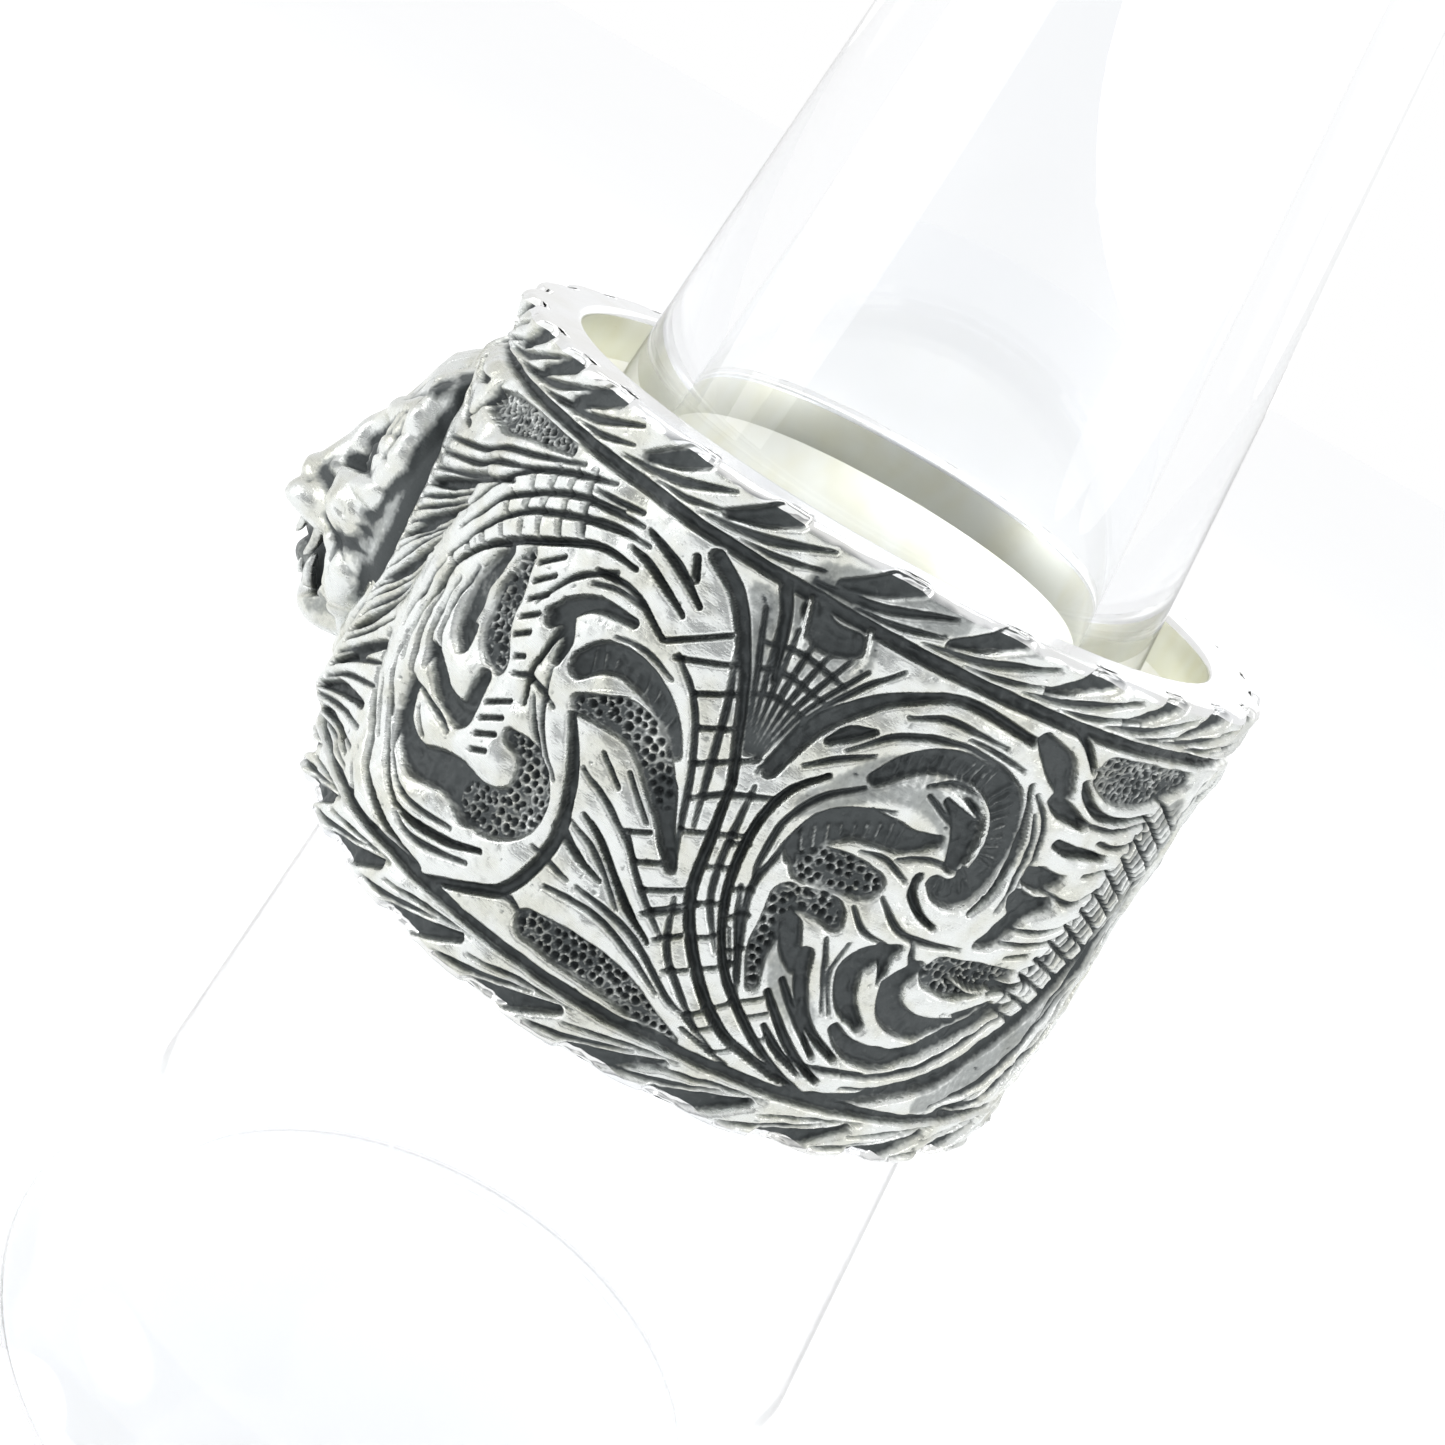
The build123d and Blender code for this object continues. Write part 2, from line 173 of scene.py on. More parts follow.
NEAR_SCROLL = Carving(
    hollows=(
        ((33, -1.9, 0.08), (36.2, -3.15, 0.1), (41.1, -4.1, 0.1), (45.7, -4.9, 0.1), (52.9, -5.4, 0.1),
         (60.8, -5.6, 0.08)),
        ((68, 4.08, 0.03), (62, 3.98, 0.06), (55.2, 3.3, 0.07), (49, 2.6, 0.07), (44.4, 1.9, 0.07),
         (41.1, 1.05, 0.08), (39.5, -0.3, 0.08), (39.8, -1.3, 0.06), (40.8, -1.8, 0.03)),
        ((67, 5.0, 0.04), (72, 4.75, 0.1), (77, 4.2, 0.04)),
        ((66, 4.45, 0.03), (70, 4.3, 0.08), (75.8, 3.8, 0.03)),
        ((74.0, 5.15, 0.07), (74.9, 4.7, 0.09)),
        ((63.5, 3.5, 0.04), (69, 3.58, 0.08), (75, 3.08, 0.04)),
        ((60.6, 1.85, 0.18), (62.5, 2.35, 0.16), (65.5, 2.8, 0.1), (71, 2.98, 0.03)),
        ((62.5, 2.0, 0.2), (64, 1.6, 0.13), (64.3, 1.1, 0.05)),
        ((62.4, 1.7, 0.08), (62.3, 1.0, 0.07), (61.9, 0.5, 0.07), (63, -0.3, 0.04)),
        ((49.5, 2.45, 0.13), (48, 1.6, 0.27), (47.6, 0.8, 0.36), (48.6, 0.1, 0.3), (49.6, -0.3, 0.12)),
        ((45.3, -1.05, 0.1), (47.5, -1.25, 0.2), (50, -1.6, 0.22), (53, -1.75, 0.2), (55.5, -1.6, 0.25),
         (55.4, -0.6, 0.15)),
        ((44.5, -2.2, 0.18), (46, -3.0, 0.26), (49, -3.4, 0.28), (52, -3.5, 0.3), (55, -3.3, 0.36),
         (58.5, -3.15, 0.42), (62.5, -3.3, 0.52)),
        ((37.8, -2.75, 0.03), (40, -3.45, 0.07), (42.6, -3.95, 0.03)),
        ((40.8, -5.1, 0.04), (43, -5.5, 0.07), (46, -5.8, 0.06)),
        ((41.4, -2.9, 0.03), (45, -3.8, 0.07), (50, -4.5, 0.08), (55.5, -4.75, 0.08), (62, -4.55, 0.08),
         (67.5, -4.1, 0.03)),
    ),
    panels=(
        ((53.3, 2.75, 0.15), (52.8, 1.9, 0.3), (53, 1.0, 0.4), (54.3, 0.3, 0.42), (56.5, 0.05, 0.25)),
        ((62.5, -3.3, 0.5), (66.5, -3.1, 0.55), (69.2, -2.6, 0.58), (69, -1.9, 0.5), (66.5, -1.35, 0.28),
         (63.5, -1.25, 0.15)),
    ),
    scores=(
        *lines(0.03, ((63.5, 3.15), (67, 3.4), (71, 3.4))),
        *lines(0.04, ((47.7, 4.5), (49, 3.5)), ((45.4, 3.6), (46.7, 3.0)), ((49.5, 3.25), (50.6, 2.75)),
               ((46.6, 2.8), (47.8, 2.4)), ((43.4, 2.3), (44.6, 1.95)), ((41.2, 1.8), (42.6, 1.45)),
               ((39.3, 1.2), (40.9, 0.9)), ((58.5, 4.3), (61, 4.45), (64, 4.6)),
               ((58.4, 0.45), (59.9, 0.62)),
               ((44, -3.0), (47, -3.85), (51.5, -4.25), (57, -4.35), (62, -4.2)),
               ((38.6, -1.2), (40.2, -2.3), (43.4, -3.2)),
               ((43.4, 0.9), (43.0, 0.0), (43.8, -0.8), (45.4, -1.5)),
               ((45.5, 1.5), (44.6, 0.5), (45.2, -0.4), (46.6, -0.9)),
               ((57.5, 1.9), (61, 3.0), (66, 3.75)),
               ((64.5, 0.9), (66, -0.2), (68.5, -0.9), (71.5, -1.4)),
               ((63.8, 0.0), (66.5, -0.75), (70.5, -1.6))),
        *lines(0.045, ((50.6, 4.9), (51.6, 3.7)), ((55, 3.95), (56.4, 3.45)), ((52.2, 3.6), (53.6, 3.05)),
               ((58, 4.72), (61, 4.85), (66, 5.0)), ((59.6, 0.1), (62, 0.32), (64.5, 0.28), (67, 0.1)),
               ((53.6, -4.9), (57, -5.07), (61, -4.95), (66.5, -4.6))),
        *lines(0.05,
               ((68, 4.7), (62, 4.55), (57, 4.2), (53, 3.85), (50, 3.55), (46, 2.9), (43, 2.3),
                (38.8, 1.1)),
               ((62.5, 5.0), (57, 4.72), (52, 4.3), (47.5, 3.75), (43.5, 3.1), (38.6, 1.9)),
               ((60, 5.45), (55, 5.1), (50, 4.7), (45, 4.1), (40.5, 3.2), (36.5, 2.2)),
               ((53.9, 5.15), (54.9, 4.1)),
               ((41.4, 1.1), (41.0, 0.3), (41.2, -0.5), (42.1, -1.2), (44.1, -2.1)),
               ((58, 5.05), (61.5, 5.12), (65, 5.25)), ((45.5, -2.0), (51, -2.15), (54.5, -2.3))),
        *lines(0.06, ((56.5, 5.4), (58.2, 4.2), (59.1, 3.9)),
               ((38.8, 0.9), (37.8, 0.3), (36.9, -0.5), (36.7, -1.2))),
        *lines(0.07, ((47.8, -2.45), (50.8, -2.9))),
        *family(0.045, 5, ((55.2, 2.7), (58.4, 3.25)), ((56.6, 0.85), (59, 1.2))),
        *family(0.045, 4, ((58, -0.95), (61.3, -0.5)), ((59.4, -2.15), (61.8, -1.9))),
    ),
    ridges=(((52.2, 2.4, 0.03), (51, 1.9, 0.05), (50.2, 1.3, 0.05), (50.4, 0.4, 0.03)),),
)

MIDDLE_STEM = Carving(
    hollows=(
        ((69.5, 0.2, 0.06), (71.5, -0.4, 0.1), (73.6, -1.2, 0.13), (75.1, -2.3, 0.13), (74.8, -3.4, 0.12),
         (72.6, -4.5, 0.1), (69, -5.0, 0.09), (62, -5.75, 0.07)),
        ((67.3, 1.35, 0.22), (69.5, 1.85, 0.27), (73, 2.05, 0.27), (77, 1.85, 0.27), (80.5, 1.35, 0.18),
         (82.6, 0.9, 0.1)),
        ((83.6, 0.0, 0.24), (86.5, -0.9, 0.13), (89, -1.6, 0.04)),
        ((77, -1.65, 0.03), (80, -1.95, 0.07), (86, -2.9, 0.08), (91, -3.5, 0.03)),
        ((75, -2.3, 0.12), (78, -2.6, 0.07), (82.5, -2.85, 0.01)),
        ((90.3, 1.0, 0.05), (91.4, -0.4, 0.09), (93, -2.1, 0.1), (97.9, -3.6, 0.1), (103.1, -4.6, 0.1),
         (108.4, -5.1, 0.09), (118.9, -5.7, 0.05)),
        ((76, 5.4, 0.15), (80, 4.9, 0.13), (83.5, 4.0, 0.1), (86.5, 2.9, 0.07), (90.3, 1.0, 0.04)),
        ((88.6, 5.5, 0.18), (91.2, 5.15, 0.28), (94.2, 5.25, 0.22)),
        ((84.5, 5.65, 0.12), (86.5, 4.9, 0.1), (88.5, 3.6, 0.03)),
    ),
    panels=(
        ((69.8, 0.55, 0.2), (74, 0.85, 0.38), (78, 0.8, 0.4), (81.5, 0.35, 0.38), (84.3, -0.35, 0.25)),
        ((77.5, -4.9, 0.33), (84, -4.85, 0.46), (90, -4.95, 0.42), (95, -5.3, 0.25), (99.5, -5.6, 0.1)),
    ),
    scores=(
        *lines(0.035, ((73, -3.15), (76, -3.2), (79, -3.3)), ((69.8, 2.45), (74, 2.6), (78.5, 2.4))),
        *lines(0.04, ((77, -3.75), (84, -3.6), (90, -4.0), (95, -4.6)),
               ((76, -2.0), (80.5, -2.35), (86, -3.2)), ((75.4, -0.1), (79, -0.6)),
               ((79.3, -0.15), (84, -0.95)), ((74, -0.7), (79.5, -1.15), (85, -1.9))),
        *lines(0.045, ((75.5, 3.1), (82, 4.05)), ((77.5, 2.9), (84.3, 3.5)), ((81.4, 2.4), (86.2, 2.95)),
               ((83.8, 1.75), (87.9, 2.2)), ((85.3, 0.95), (91.8, 1.8)),
               ((86.8, 0.15), (91, 0.75), (96, 1.2)), ((87.8, -0.65), (94.8, 0.03)),
               ((92, -1.15), (95.4, -0.85)), ((93.4, -2.1), (96.9, -1.7)), ((89.6, -2.75), (93.9, -2.1)),
               ((95.6, -2.85), (98.3, -2.5)), ((91.6, -3.35), (94.2, -2.95)), ((98, -3.5), (101.3, -3.0)),
               ((94.4, -3.95), (96.8, -3.65)), ((99.3, -4.75), (101, -4.45)),
               ((101.6, -4.95), (103.4, -4.65)), ((104.8, -5.35), (106.4, -5.1)),
               ((93.6, -0.3), (95.6, -0.1)), ((91.2, -2.2), (93.4, -3.4), (97.5, -4.3), (101.5, -5.0)),
               ((82.3, -1.4), (85, -1.1)), ((84.8, -1.95), (88, -1.6)), ((87.3, -2.45), (92, -1.9)),
               ((88.8, -2.95), (93.5, -2.3)), ((99.5, -4.8), (104.8, -5.4)), ((99.8, -5.1), (107, -5.6))),
        *lines(0.05, ((77.8, 3.0), (82, 2.2), (85.5, 0.8), (87.9, -0.8), (89.6, -1.7)),
               ((83.3, 3.8), (85.5, 2.5), (87.3, 1.0), (89, -0.4)),
               ((92.8, 1.2), (93.2, 0.2), (93.8, -0.9), (95.2, -1.9), (98.6, -2.9)),
               ((82.5, -1.4), (87, -2.4), (92, -3.2)),
               ((80.5, -3.3), (85, -3.35), (90, -3.65), (95.9, -4.5), (99, -4.75)),
               ((70.5, -4.9), (74, -4.6), (76.5, -4.9)),
               ((92.2, 1.5), (94, 3.1), (97.4, 4.4), (101, 5.3))),
        *family(0.032, 7, ((89.6, 1.8), (86.8, 3.4), (83.6, 5.0)),
                ((91.4, 1.8), (93.6, 3.4), (97.4, 4.9))),
        *family(0.03, 3, ((87.2, 3.1), (90, 3.3), (93.8, 3.15)), ((85.6, 4.3), (90, 4.5), (96, 4.3))),
    ),
    combs=(
        *family(0.03, 9, ((69.0, 1.2), (67.6, 1.9)), ((80.2, 1.2), (80.8, 1.9))),
    ),
    dulled=(
        ((90.2, 2.2, 0.25), (90.5, 3.4, 0.75), (90.5, 5.0, 1.3)),
        ((88, 6.3, 0.25), (95, 6.6, 0.45), (103, 6.9, 0.3)),
        ((82.5, 5.2, 0.2), (84.8, 3.8, 0.25), (87.0, 2.4, 0.15)),
    ),
    ridges=(
        ((70, 0.95, 0.02), (72.5, 1.25, 0.07), (75, 1.5, 0.02)),
        ((87.6, 5.7, 0.03), (88.9, 4.8, 0.06), (89.4, 4.2, 0.02)),
        ((95.4, 5.7, 0.05), (96.3, 5.1, 0.05), (95.8, 4.7, 0.02)),
    ),
)

FAR_SCROLL = Carving(
    hollows=(
        ((93.3, 1.7, 0.12), (95, 2.95, 0.16), (98, 3.9, 0.15), (103.1, 4.8, 0.08), (109.7, 5.3, 0.06),
         (119.7, 5.1, 0.04)),
        ((97.5, 3.0, 0.05), (99.3, 3.4, 0.14), (101.6, 3.7, 0.04)),
        ((104.6, 2.7, 0.06), (107.4, 3.4, 0.18), (110.3, 3.75, 0.22), (114, 3.85, 0.24), (118.9, 3.7, 0.3),
         (121.6, 3.3, 0.36), (123.5, 2.5, 0.4), (123.8, 1.8, 0.4), (122.6, 0.95, 0.36), (120.4, 0.75, 0.24),
         (118.3, 0.9, 0.08)),
        ((101.2, 0.3, 0.3), (102.5, 1.0, 0.34), (105.5, 1.5, 0.32), (109, 1.6, 0.32), (112.5, 1.6, 0.22),
         (115.5, 1.9, 0.08)),
        ((114.2, 2.95, 0.05), (117.0, 2.75, 0.26), (119.2, 2.1, 0.30), (119.4, 1.5, 0.14)),
        ((115.9, 0.9, 0.1), (116.4, 0.45, 0.1), (118.9, 0.0, 0.06), (121.5, -0.2, 0.03)),
        ((104.8, -1.5, 0.2), (106.5, -2.1, 0.16), (108.3, -2.5, 0.08)),
        ((118.6, -1.1, 0.1), (116.2, -1.45, 0.24), (114.9, -2.0, 0.26), (116.6, -2.85, 0.18),
         (120.2, -3.4, 0.03)),
        ((117.8, -1.2, 0.16), (118.6, -1.6, 0.1), (119.3, -2.05, 0.02)),
        ((108.4, -2.0, 0.14), (110.3, -2.9, 0.12), (113.6, -3.8, 0.1), (119.2, -4.4, 0.04)),
        ((107.7, -2.9, 0.05), (110.7, -3.5, 0.08), (116.2, -4.5, 0.05)),
        ((106.7, -3.3, 0.05), (109.7, -3.9, 0.08), (114.3, -4.7, 0.1), (118.5, -5.1, 0.06)),
        ((108.7, -4.2, 0.03), (111.5, -4.65, 0.09), (115.9, -5.1, 0.03)),
        ((99.5, 2.3, 0.04), (96.2, 1.4, 0.07), (95.1, 0.1, 0.08), (96.3, -1.5, 0.08), (99.5, -2.9, 0.08),
         (103.8, -3.9, 0.08), (111, -5.0, 0.08), (118.5, -5.7, 0.05)),
        ((122.6, 4.1, 0.03), (125.2, 3.2, 0.05), (127, 2.2, 0.09), (126.9, 1.2, 0.09),
         (125.2, 0.45, 0.04)),
    ),
    panels=(
        ((103.3, 0.05, 0.42), (107, 0.2, 0.5), (110.6, 0.25, 0.35)),
        ((102.7, -0.9, 0.32), (103, -1.6, 0.28), (102.9, -2.4, 0.2), (104.6, -3.3, 0.1)),
        ((105, -0.8, 0.28), (108, -0.75, 0.3), (109.6, -1.0, 0.14)),
    ),
    scores=(
        *lines(0.04, ((110.6, 3.1), (113.6, 3.4), (117.4, 3.35)),
               ((111.4, 2.9), (114.5, 2.6), (118.2, 2.3)), ((107.5, 0.95), (111, 1.0), (114.5, 0.7)),
               ((112.2, 1.1), (116, 1.4), (120.8, 1.35)), ((110.5, -0.4), (113, -0.85), (116.4, -1.0)),
               ((109.5, -1.4), (111.6, -2.2), (114.4, -3.3)),
               ((112.4, -1.3), (112.6, -2.3), (115.4, -3.3)), ((112, 4.55), (116, 4.5), (120.5, 4.35)),
               ((96.4, 2.2), (99.5, 2.75), (103, 3.2))),
        *lines(0.045, ((98.6, -2.25), (101, -3.1)), ((96.6, -1.3), (98.6, -1.1)),
               ((97.9, -2.0), (99.8, -1.7)), ((99.9, -2.8), (101.5, -2.5)),
               ((103.2, -4.0), (106.8, -3.5)), ((105.5, -4.25), (108.4, -3.9)),
               ((108.5, -4.75), (110.2, -4.45)), ((101.9, -4.25), (103.6, -3.95))),
        *lines(0.05, ((104.1, 4.4), (109, 4.75), (116.9, 4.7)),
               ((124.3, 3.9), (127.6, 3.3), (129.9, 2.2), (130.2, 1.2)),
               ((104.1, 2.4), (100.5, 1.8), (97.9, 0.9), (97.6, -0.3), (98.4, -0.9)),
               ((97.2, -1.1), (99.6, -2.2), (102.8, -3.4))),
        *lines(0.06, ((99.8, 3.0), (104.4, 3.9), (111, 4.3), (117.5, 4.2), (121.8, 3.8)),
               ((125.7, 3.4), (128, 2.6), (129.2, 1.4), (128.6, 0.7)),
               ((113, 0.1), (117.2, -0.53), (122, -0.65), (127, -0.57)),
               ((120, -0.67), (121.4, -1.2), (123.1, -1.4)),
               ((108.7, 2.2), (103.8, 1.7), (100.5, 1.0), (99, -0.1), (98.5, -1.2), (101.5, -2.9),
                (104, -4.0))),
    ),
    ridges=(
        ((115.8, 3.5, 0.02), (118.5, 3.2, 0.04), (120.4, 2.6, 0.045), (121, 1.6, 0.03)),
        ((111.2, 3.25, 0.02), (114.6, 3.1, 0.1), (118.0, 2.85, 0.02)),
    ),
    combs=(
        *family(0.03, 11, ((106.6, 2.9), (106.0, 3.5)), ((117.4, 3.4), (118.6, 4.2))),
        *family(0.035, 9, ((118.4, 3.0), (121.4, 4.0)), ((122.0, 1.8), (126.0, 1.6))),
        *family(0.035, 5, ((121.6, 1.4), (124.6, 0.9)), ((119.2, 1.2), (119.4, 0.4))),
        *family(0.03, 9, ((101.6, 0.2), (100.2, 0.8)), ((111.5, 1.3), (111.2, 2.0))),
    ),
    dulled=(
        ((99, 1.4, 0.2), (106, 2.9, 0.45), (114, 3.0, 0.55), (119.5, 1.9, 0.35)),
        ((103.5, -1.2, 0.2), (106.8, -2.6, 0.35), (112.4, -3.6, 0.3)),
    ),
)

SWEEP_SIDE = Carving(
    hollows=(
        ((117, -3.6, 0.05), (120, -4.0, 0.16), (124, -4.1, 0.22), (128, -4.0, 0.2), (135, -3.15, 0.15),
         (141, -2.15, 0.14), (143.5, -1.8, 0.06)),
        ((118.5, -5.7, 0.08), (126.1, -5.4, 0.13), (135.5, -4.6, 0.18), (142.4, -3.5, 0.24),
         (148.6, -2.1, 0.24), (152.9, -0.4, 0.2), (153.9, 0.3, 0.1)),
        ((120.8, 5.25, 0.08), (123, 5.0, 0.2), (125.5, 4.7, 0.3), (128.8, 4.15, 0.12)),
        ((126.8, 3.95, 0.08), (129.5, 3.75, 0.17), (134, 3.5, 0.04)),
        ((124.5, 5.8, 0.12), (127, 5.5, 0.08), (130, 4.95, 0.04)),
        ((131.5, 2.85, 0.08), (135, 2.75, 0.13), (141.5, 2.75, 0.02)),
        ((131.8, 1.8, 0.25), (134.5, 1.75, 0.2), (136.2, 1.9, 0.05)),
        ((131.3, 1.1, 0.22), (133.4, 0.9, 0.28), (136.5, 1.15, 0.12)),
        ((132.5, 0.55, 0.3), (131.2, 0.0, 0.25), (129.5, -0.25, 0.08)),
        ((122.8, -1.5, 0.2), (121.6, -2.1, 0.25), (124, -2.85, 0.27), (130, -3.0, 0.25),
         (138.2, -2.1, 0.08)),
        ((137.2, -1.55, 0.14), (140, -1.35, 0.12), (143, -1.0, 0.06)),
        ((130, 4.6, 0.05), (131.6, 4.3, 0.1), (135.5, 3.87, 0.09), (141, 3.85, 0.06), (146, 4.1, 0.05)),
        ((140, -5.75, 0.12), (147, -5.3, 0.14), (151.5, -4.6, 0.1)),
    ),
    panels=(
        ((132.6, 5.0, 0.38), (137, 4.85, 0.56), (143, 4.85, 0.52), (149.5, 5.15, 0.25)),
        ((126.5, -1.4, 0.42), (130.5, -1.4, 0.5), (134.5, -1.3, 0.38), (137.5, -1.05, 0.15)),
    ),
    scores=(
        *lines(0.04, ((133.5, 0.25), (138, 0.45), (142.5, 1.0)),
               ((133, -0.15), (138.5, 0.05), (143.5, 0.6)), ((139, -0.8), (142.5, -0.4), (146, 0.4))),
        *lines(0.045, ((133.8, 3.57), (140.4, 3.53), (147, 3.93)),
               ((138.4, 3.15), (143, 3.12), (149.2, 3.8)), ((139.1, 2.2), (143.7, 2.5))),
        *lines(0.05, ((135.1, 1.5), (140, 1.4), (145, 2.1)), ((135, -0.5), (138.4, -0.3))),
        *lines(0.07, ((112.5, -4.9), (118.5, -4.75), (124, -4.6))),
        *lines(0.08, ((121.7, -4.75), (130.2, -4.4), (135.1, -3.7), (143.7, -2.2)),
               ((122.5, -5.15), (130.5, -4.85), (137, -4.0), (145.5, -2.6))),
        *family(0.10, 6, ((139.5, -2.1), (142.6, 0.4), (145.4, 2.8), (147.5, 4.4)),
                ((151.5, -0.9), (153.6, 0.8), (155.4, 2.4), (156.2, 4.2))),
        *family(0.055, 13, ((138.0, -2.0), (147, -2.6)), ((146.6, 4.6), (159.2, 3.4))),
        *family(0.10, 3, ((150.5, -3.4), (154.8, -0.6), (157.6, 2.1), (159, 4.6)),
                ((157.2, -4.4), (161.0, -1.0), (163.4, 2.0), (164.2, 4.6))),
        *family(0.11, 3, ((139, -5.3), (146.5, -4.5), (152, -3.0), (155.5, -1.2)),
                ((143, -5.6), (151, -5.3), (158, -4.3), (162, -2.6))),
    ),
    ridges=(
        ((124.8, -1.9, 0.03), (127.5, -2.45, 0.06), (132.8, -2.5, 0.03)),
        ((129.6, -1.5, 0.02), (133, -1.65, 0.05), (136.4, -1.55, 0.02)),
    ),
    dulled=(
        ((137, -5.2, 0.3), (147, -3.6, 0.5), (153.5, -1.2, 0.6), (157.5, 2.0, 0.7), (158.5, 4.6, 0.5)),
        ((143, -1.0, 0.2), (148.5, 1.6, 0.5), (151, 4.2, 0.4)),
    ),
)

BACK_PALMETTE = Carving(
    hollows=(
        ((152.4, -5.2, 0.08), (157.5, -3.2, 0.16), (160.4, -0.6, 0.18), (160.8, 2.4, 0.16),
         (158.6, 5.0, 0.08)),
        ((164.2, 5.3, 0.08), (168.8, 3.0, 0.2), (169.6, 0.4, 0.2), (166.4, -2.2, 0.08)),
        ((159.5, -5.4, 0.06), (165.4, -3.9, 0.2), (171.5, -2.0, 0.16), (175, 0.6, 0.06)),
        ((174.0, 5.0, 0.08), (177.0, 2.8, 0.16), (177.2, 0.8, 0.06)),
        ((169, -5.5, 0.08), (175.2, -4.4, 0.18), (178.4, -2.4, 0.06)),
    ),
    panels=(
        ((180, 3.9, 0.2), (180, 4.9, 0.42)),
        ((180, -4.8, 0.35), (180, -3.6, 0.15)),
        ((161.6, 5.2, 0.12), (164, 2.8, 0.26), (164.4, 0.4, 0.28), (162.6, -2.6, 0.1)),
    ),
    scores=(
        *lines(0.06, ((180, -2.6), (180, 3.0))),
        *family(0.045, 5, ((154.6, -4.6), (159.6, -1.4), (160.4, 2.6)),
                ((158, -5.2), (164.2, -3.0), (166.6, 0.4))),
        *family(0.045, 4, ((166.4, 5.2), (171.2, 2.6), (171.6, -0.6)),
                ((172.2, 5.3), (175.4, 2.8), (175.2, 0.8))),
        *family(0.045, 4, ((162, -5.5), (168.6, -3.6), (174.6, -1.0)),
                ((167.5, -5.6), (174, -4.3), (177.8, -1.8))),
        *family(0.04, 3, ((177.6, 1.6), (178.8, 3.0), (179.4, 3.8)),
                ((178.8, -1.4), (179.2, 0.6), (179.6, 2.2))),
    ),
)

FIELD = (HEAD_SIDE, NEAR_SCROLL, MIDDLE_STEM, FAR_SCROLL, SWEEP_SIDE, BACK_PALMETTE)


@dataclass(frozen=True)
class Tool:
    """What a cut leaves behind.

    Attributes:
        bite: Share of the relief that it takes away at its deepest.
        wall: Width of the slope from its floor up to the surface, in millimetres.
        stain: Share of dark oxide that stays in it.
        stain_wall: How far up the slope the oxide reaches, in millimetres.
    """

    bite: float
    wall: float
    stain: float
    stain_wall: float


@dataclass(frozen=True)
class LeafRow:
    """The leaves of one border. Their paths' azimuths are counted from each leaf's own place.

    Attributes:
        places: Azimuths of the leaves.
        gap: The broad slanted cut between two leaves.
        veins: Fine cuts along a leaf.
    """

    places: tuple[float, ...]
    gap: Path
    veins: tuple[Path, ...]


BORDERS = (
    LeafRow(
        places=(-6.0, 7.0, 20.0, 33.4, 43.5, 53.0, 68.0, 81.0, 96.5, 110.5, 124.0, 137.0, 148.5,
                161.0, 174.0, 187.0),
        gap=((-6.5, 6.36, 0.03), (-2.5, 6.8, 0.16), (0.6, 7.26, 0.27)),
        veins=(
            ((-9.5, 6.08, 0.02), (-1.5, 6.34, 0.1), (6.5, 6.95, 0.02)),
            ((-4.0, 6.04, 0.02), (1.0, 6.14, 0.07), (6.5, 6.44, 0.02)),
        ),
    ),
    LeafRow(
        places=(-13.0, 1.5, 16.0, 30.0, 44.5, 60.0, 75.5, 90.0, 102.0, 117.0, 131.0, 145.0, 159.5,
                174.0, 188.0),
        gap=((-0.6, -7.26, 0.25), (4.0, -6.9, 0.17), (10.4, -6.32, 0.03)),
        veins=(
            ((-7.5, -7.05, 0.02), (-0.5, -6.76, 0.09), (6.5, -6.32, 0.02)),
            ((-3.0, -6.5, 0.02), (4.0, -6.26, 0.06), (12.0, -6.1, 0.02)),
        ),
    ),
)

# Azimuth and half width along the groove between field and border
GROOVE_WIDTHS = ((-3, 0.1), (60, 0.12), (120, 0.13), (183, 0.1))

HOLLOW = Tool(bite=1.0, wall=0.18, stain=0.30, stain_wall=0.03)
PANEL = Tool(bite=0.78, wall=0.13, stain=0.20, stain_wall=0.03)
GRAVER = Tool(bite=0.58, wall=0.075, stain=0.85, stain_wall=0.05)
BORDER_GROOVE = Tool(bite=0.95, wall=0.15, stain=0.6, stain_wall=0.05)
LEAF_GAP = Tool(bite=0.95, wall=0.18, stain=0.4, stain_wall=0.04)
LEAF_VEIN = Tool(bite=0.6, wall=0.10, stain=0.7, stain_wall=0.04)
TARNISH = Tool(bite=0.10, wall=0.30, stain=0.5, stain_wall=0.30)


def moved(path: Path, azimuth: float) -> Path:
    """A path moved round the band."""
    return tuple((azimuth + az, height, half_width) for az, height, half_width in path)


def folded(azimuth: np.ndarray) -> np.ndarray:
    """Azimuth mirrored onto the charted half, from 0 to 180."""
    return np.abs((np.asarray(azimuth, float) + 180) % 360 - 180)


def smoothstep(low: float, high: float, value: np.ndarray) -> np.ndarray:
    """A rise from 0 at low to 1 at high: 3t squared less 2t cubed, with t the share of the way."""
    share = np.clip((value - low) / (high - low), 0.0, 1.0)
    return share * share * (3.0 - 2.0 * share)


def flowing_path(rows: np.ndarray, step: float) -> np.ndarray:
    """A Catmull-Rom curve through the rows, in runs of about one step.

    Each run between two rows is a cubic whose slope at a row is half the way between the rows
    on either side of it. Half widths flow along with the places.

    Args:
        rows: Places and half widths, a row each.
        step: Length of a run.

    Returns:
        The rows of the curve.
    """
    rows = np.asarray(rows, float)
    ends = np.vstack([2 * rows[0] - rows[1], rows, 2 * rows[-1] - rows[-2]])
    runs = []
    for a, b, c, d in zip(ends, ends[1:], ends[2:], ends[3:]):
        count = max(2, int(hypot(*(c - b)[:2]) / step) + 1)
        t = np.linspace(0.0, 1.0, count, endpoint=False)[:, None]
        square, cube = (2 * a - 5 * b + 4 * c - d) * t**2, (3 * b - a - 3 * c + d) * t**3
        runs.append(0.5 * (2 * b + (c - a) * t + square + cube))
    return np.vstack([*runs, rows[-1:]])


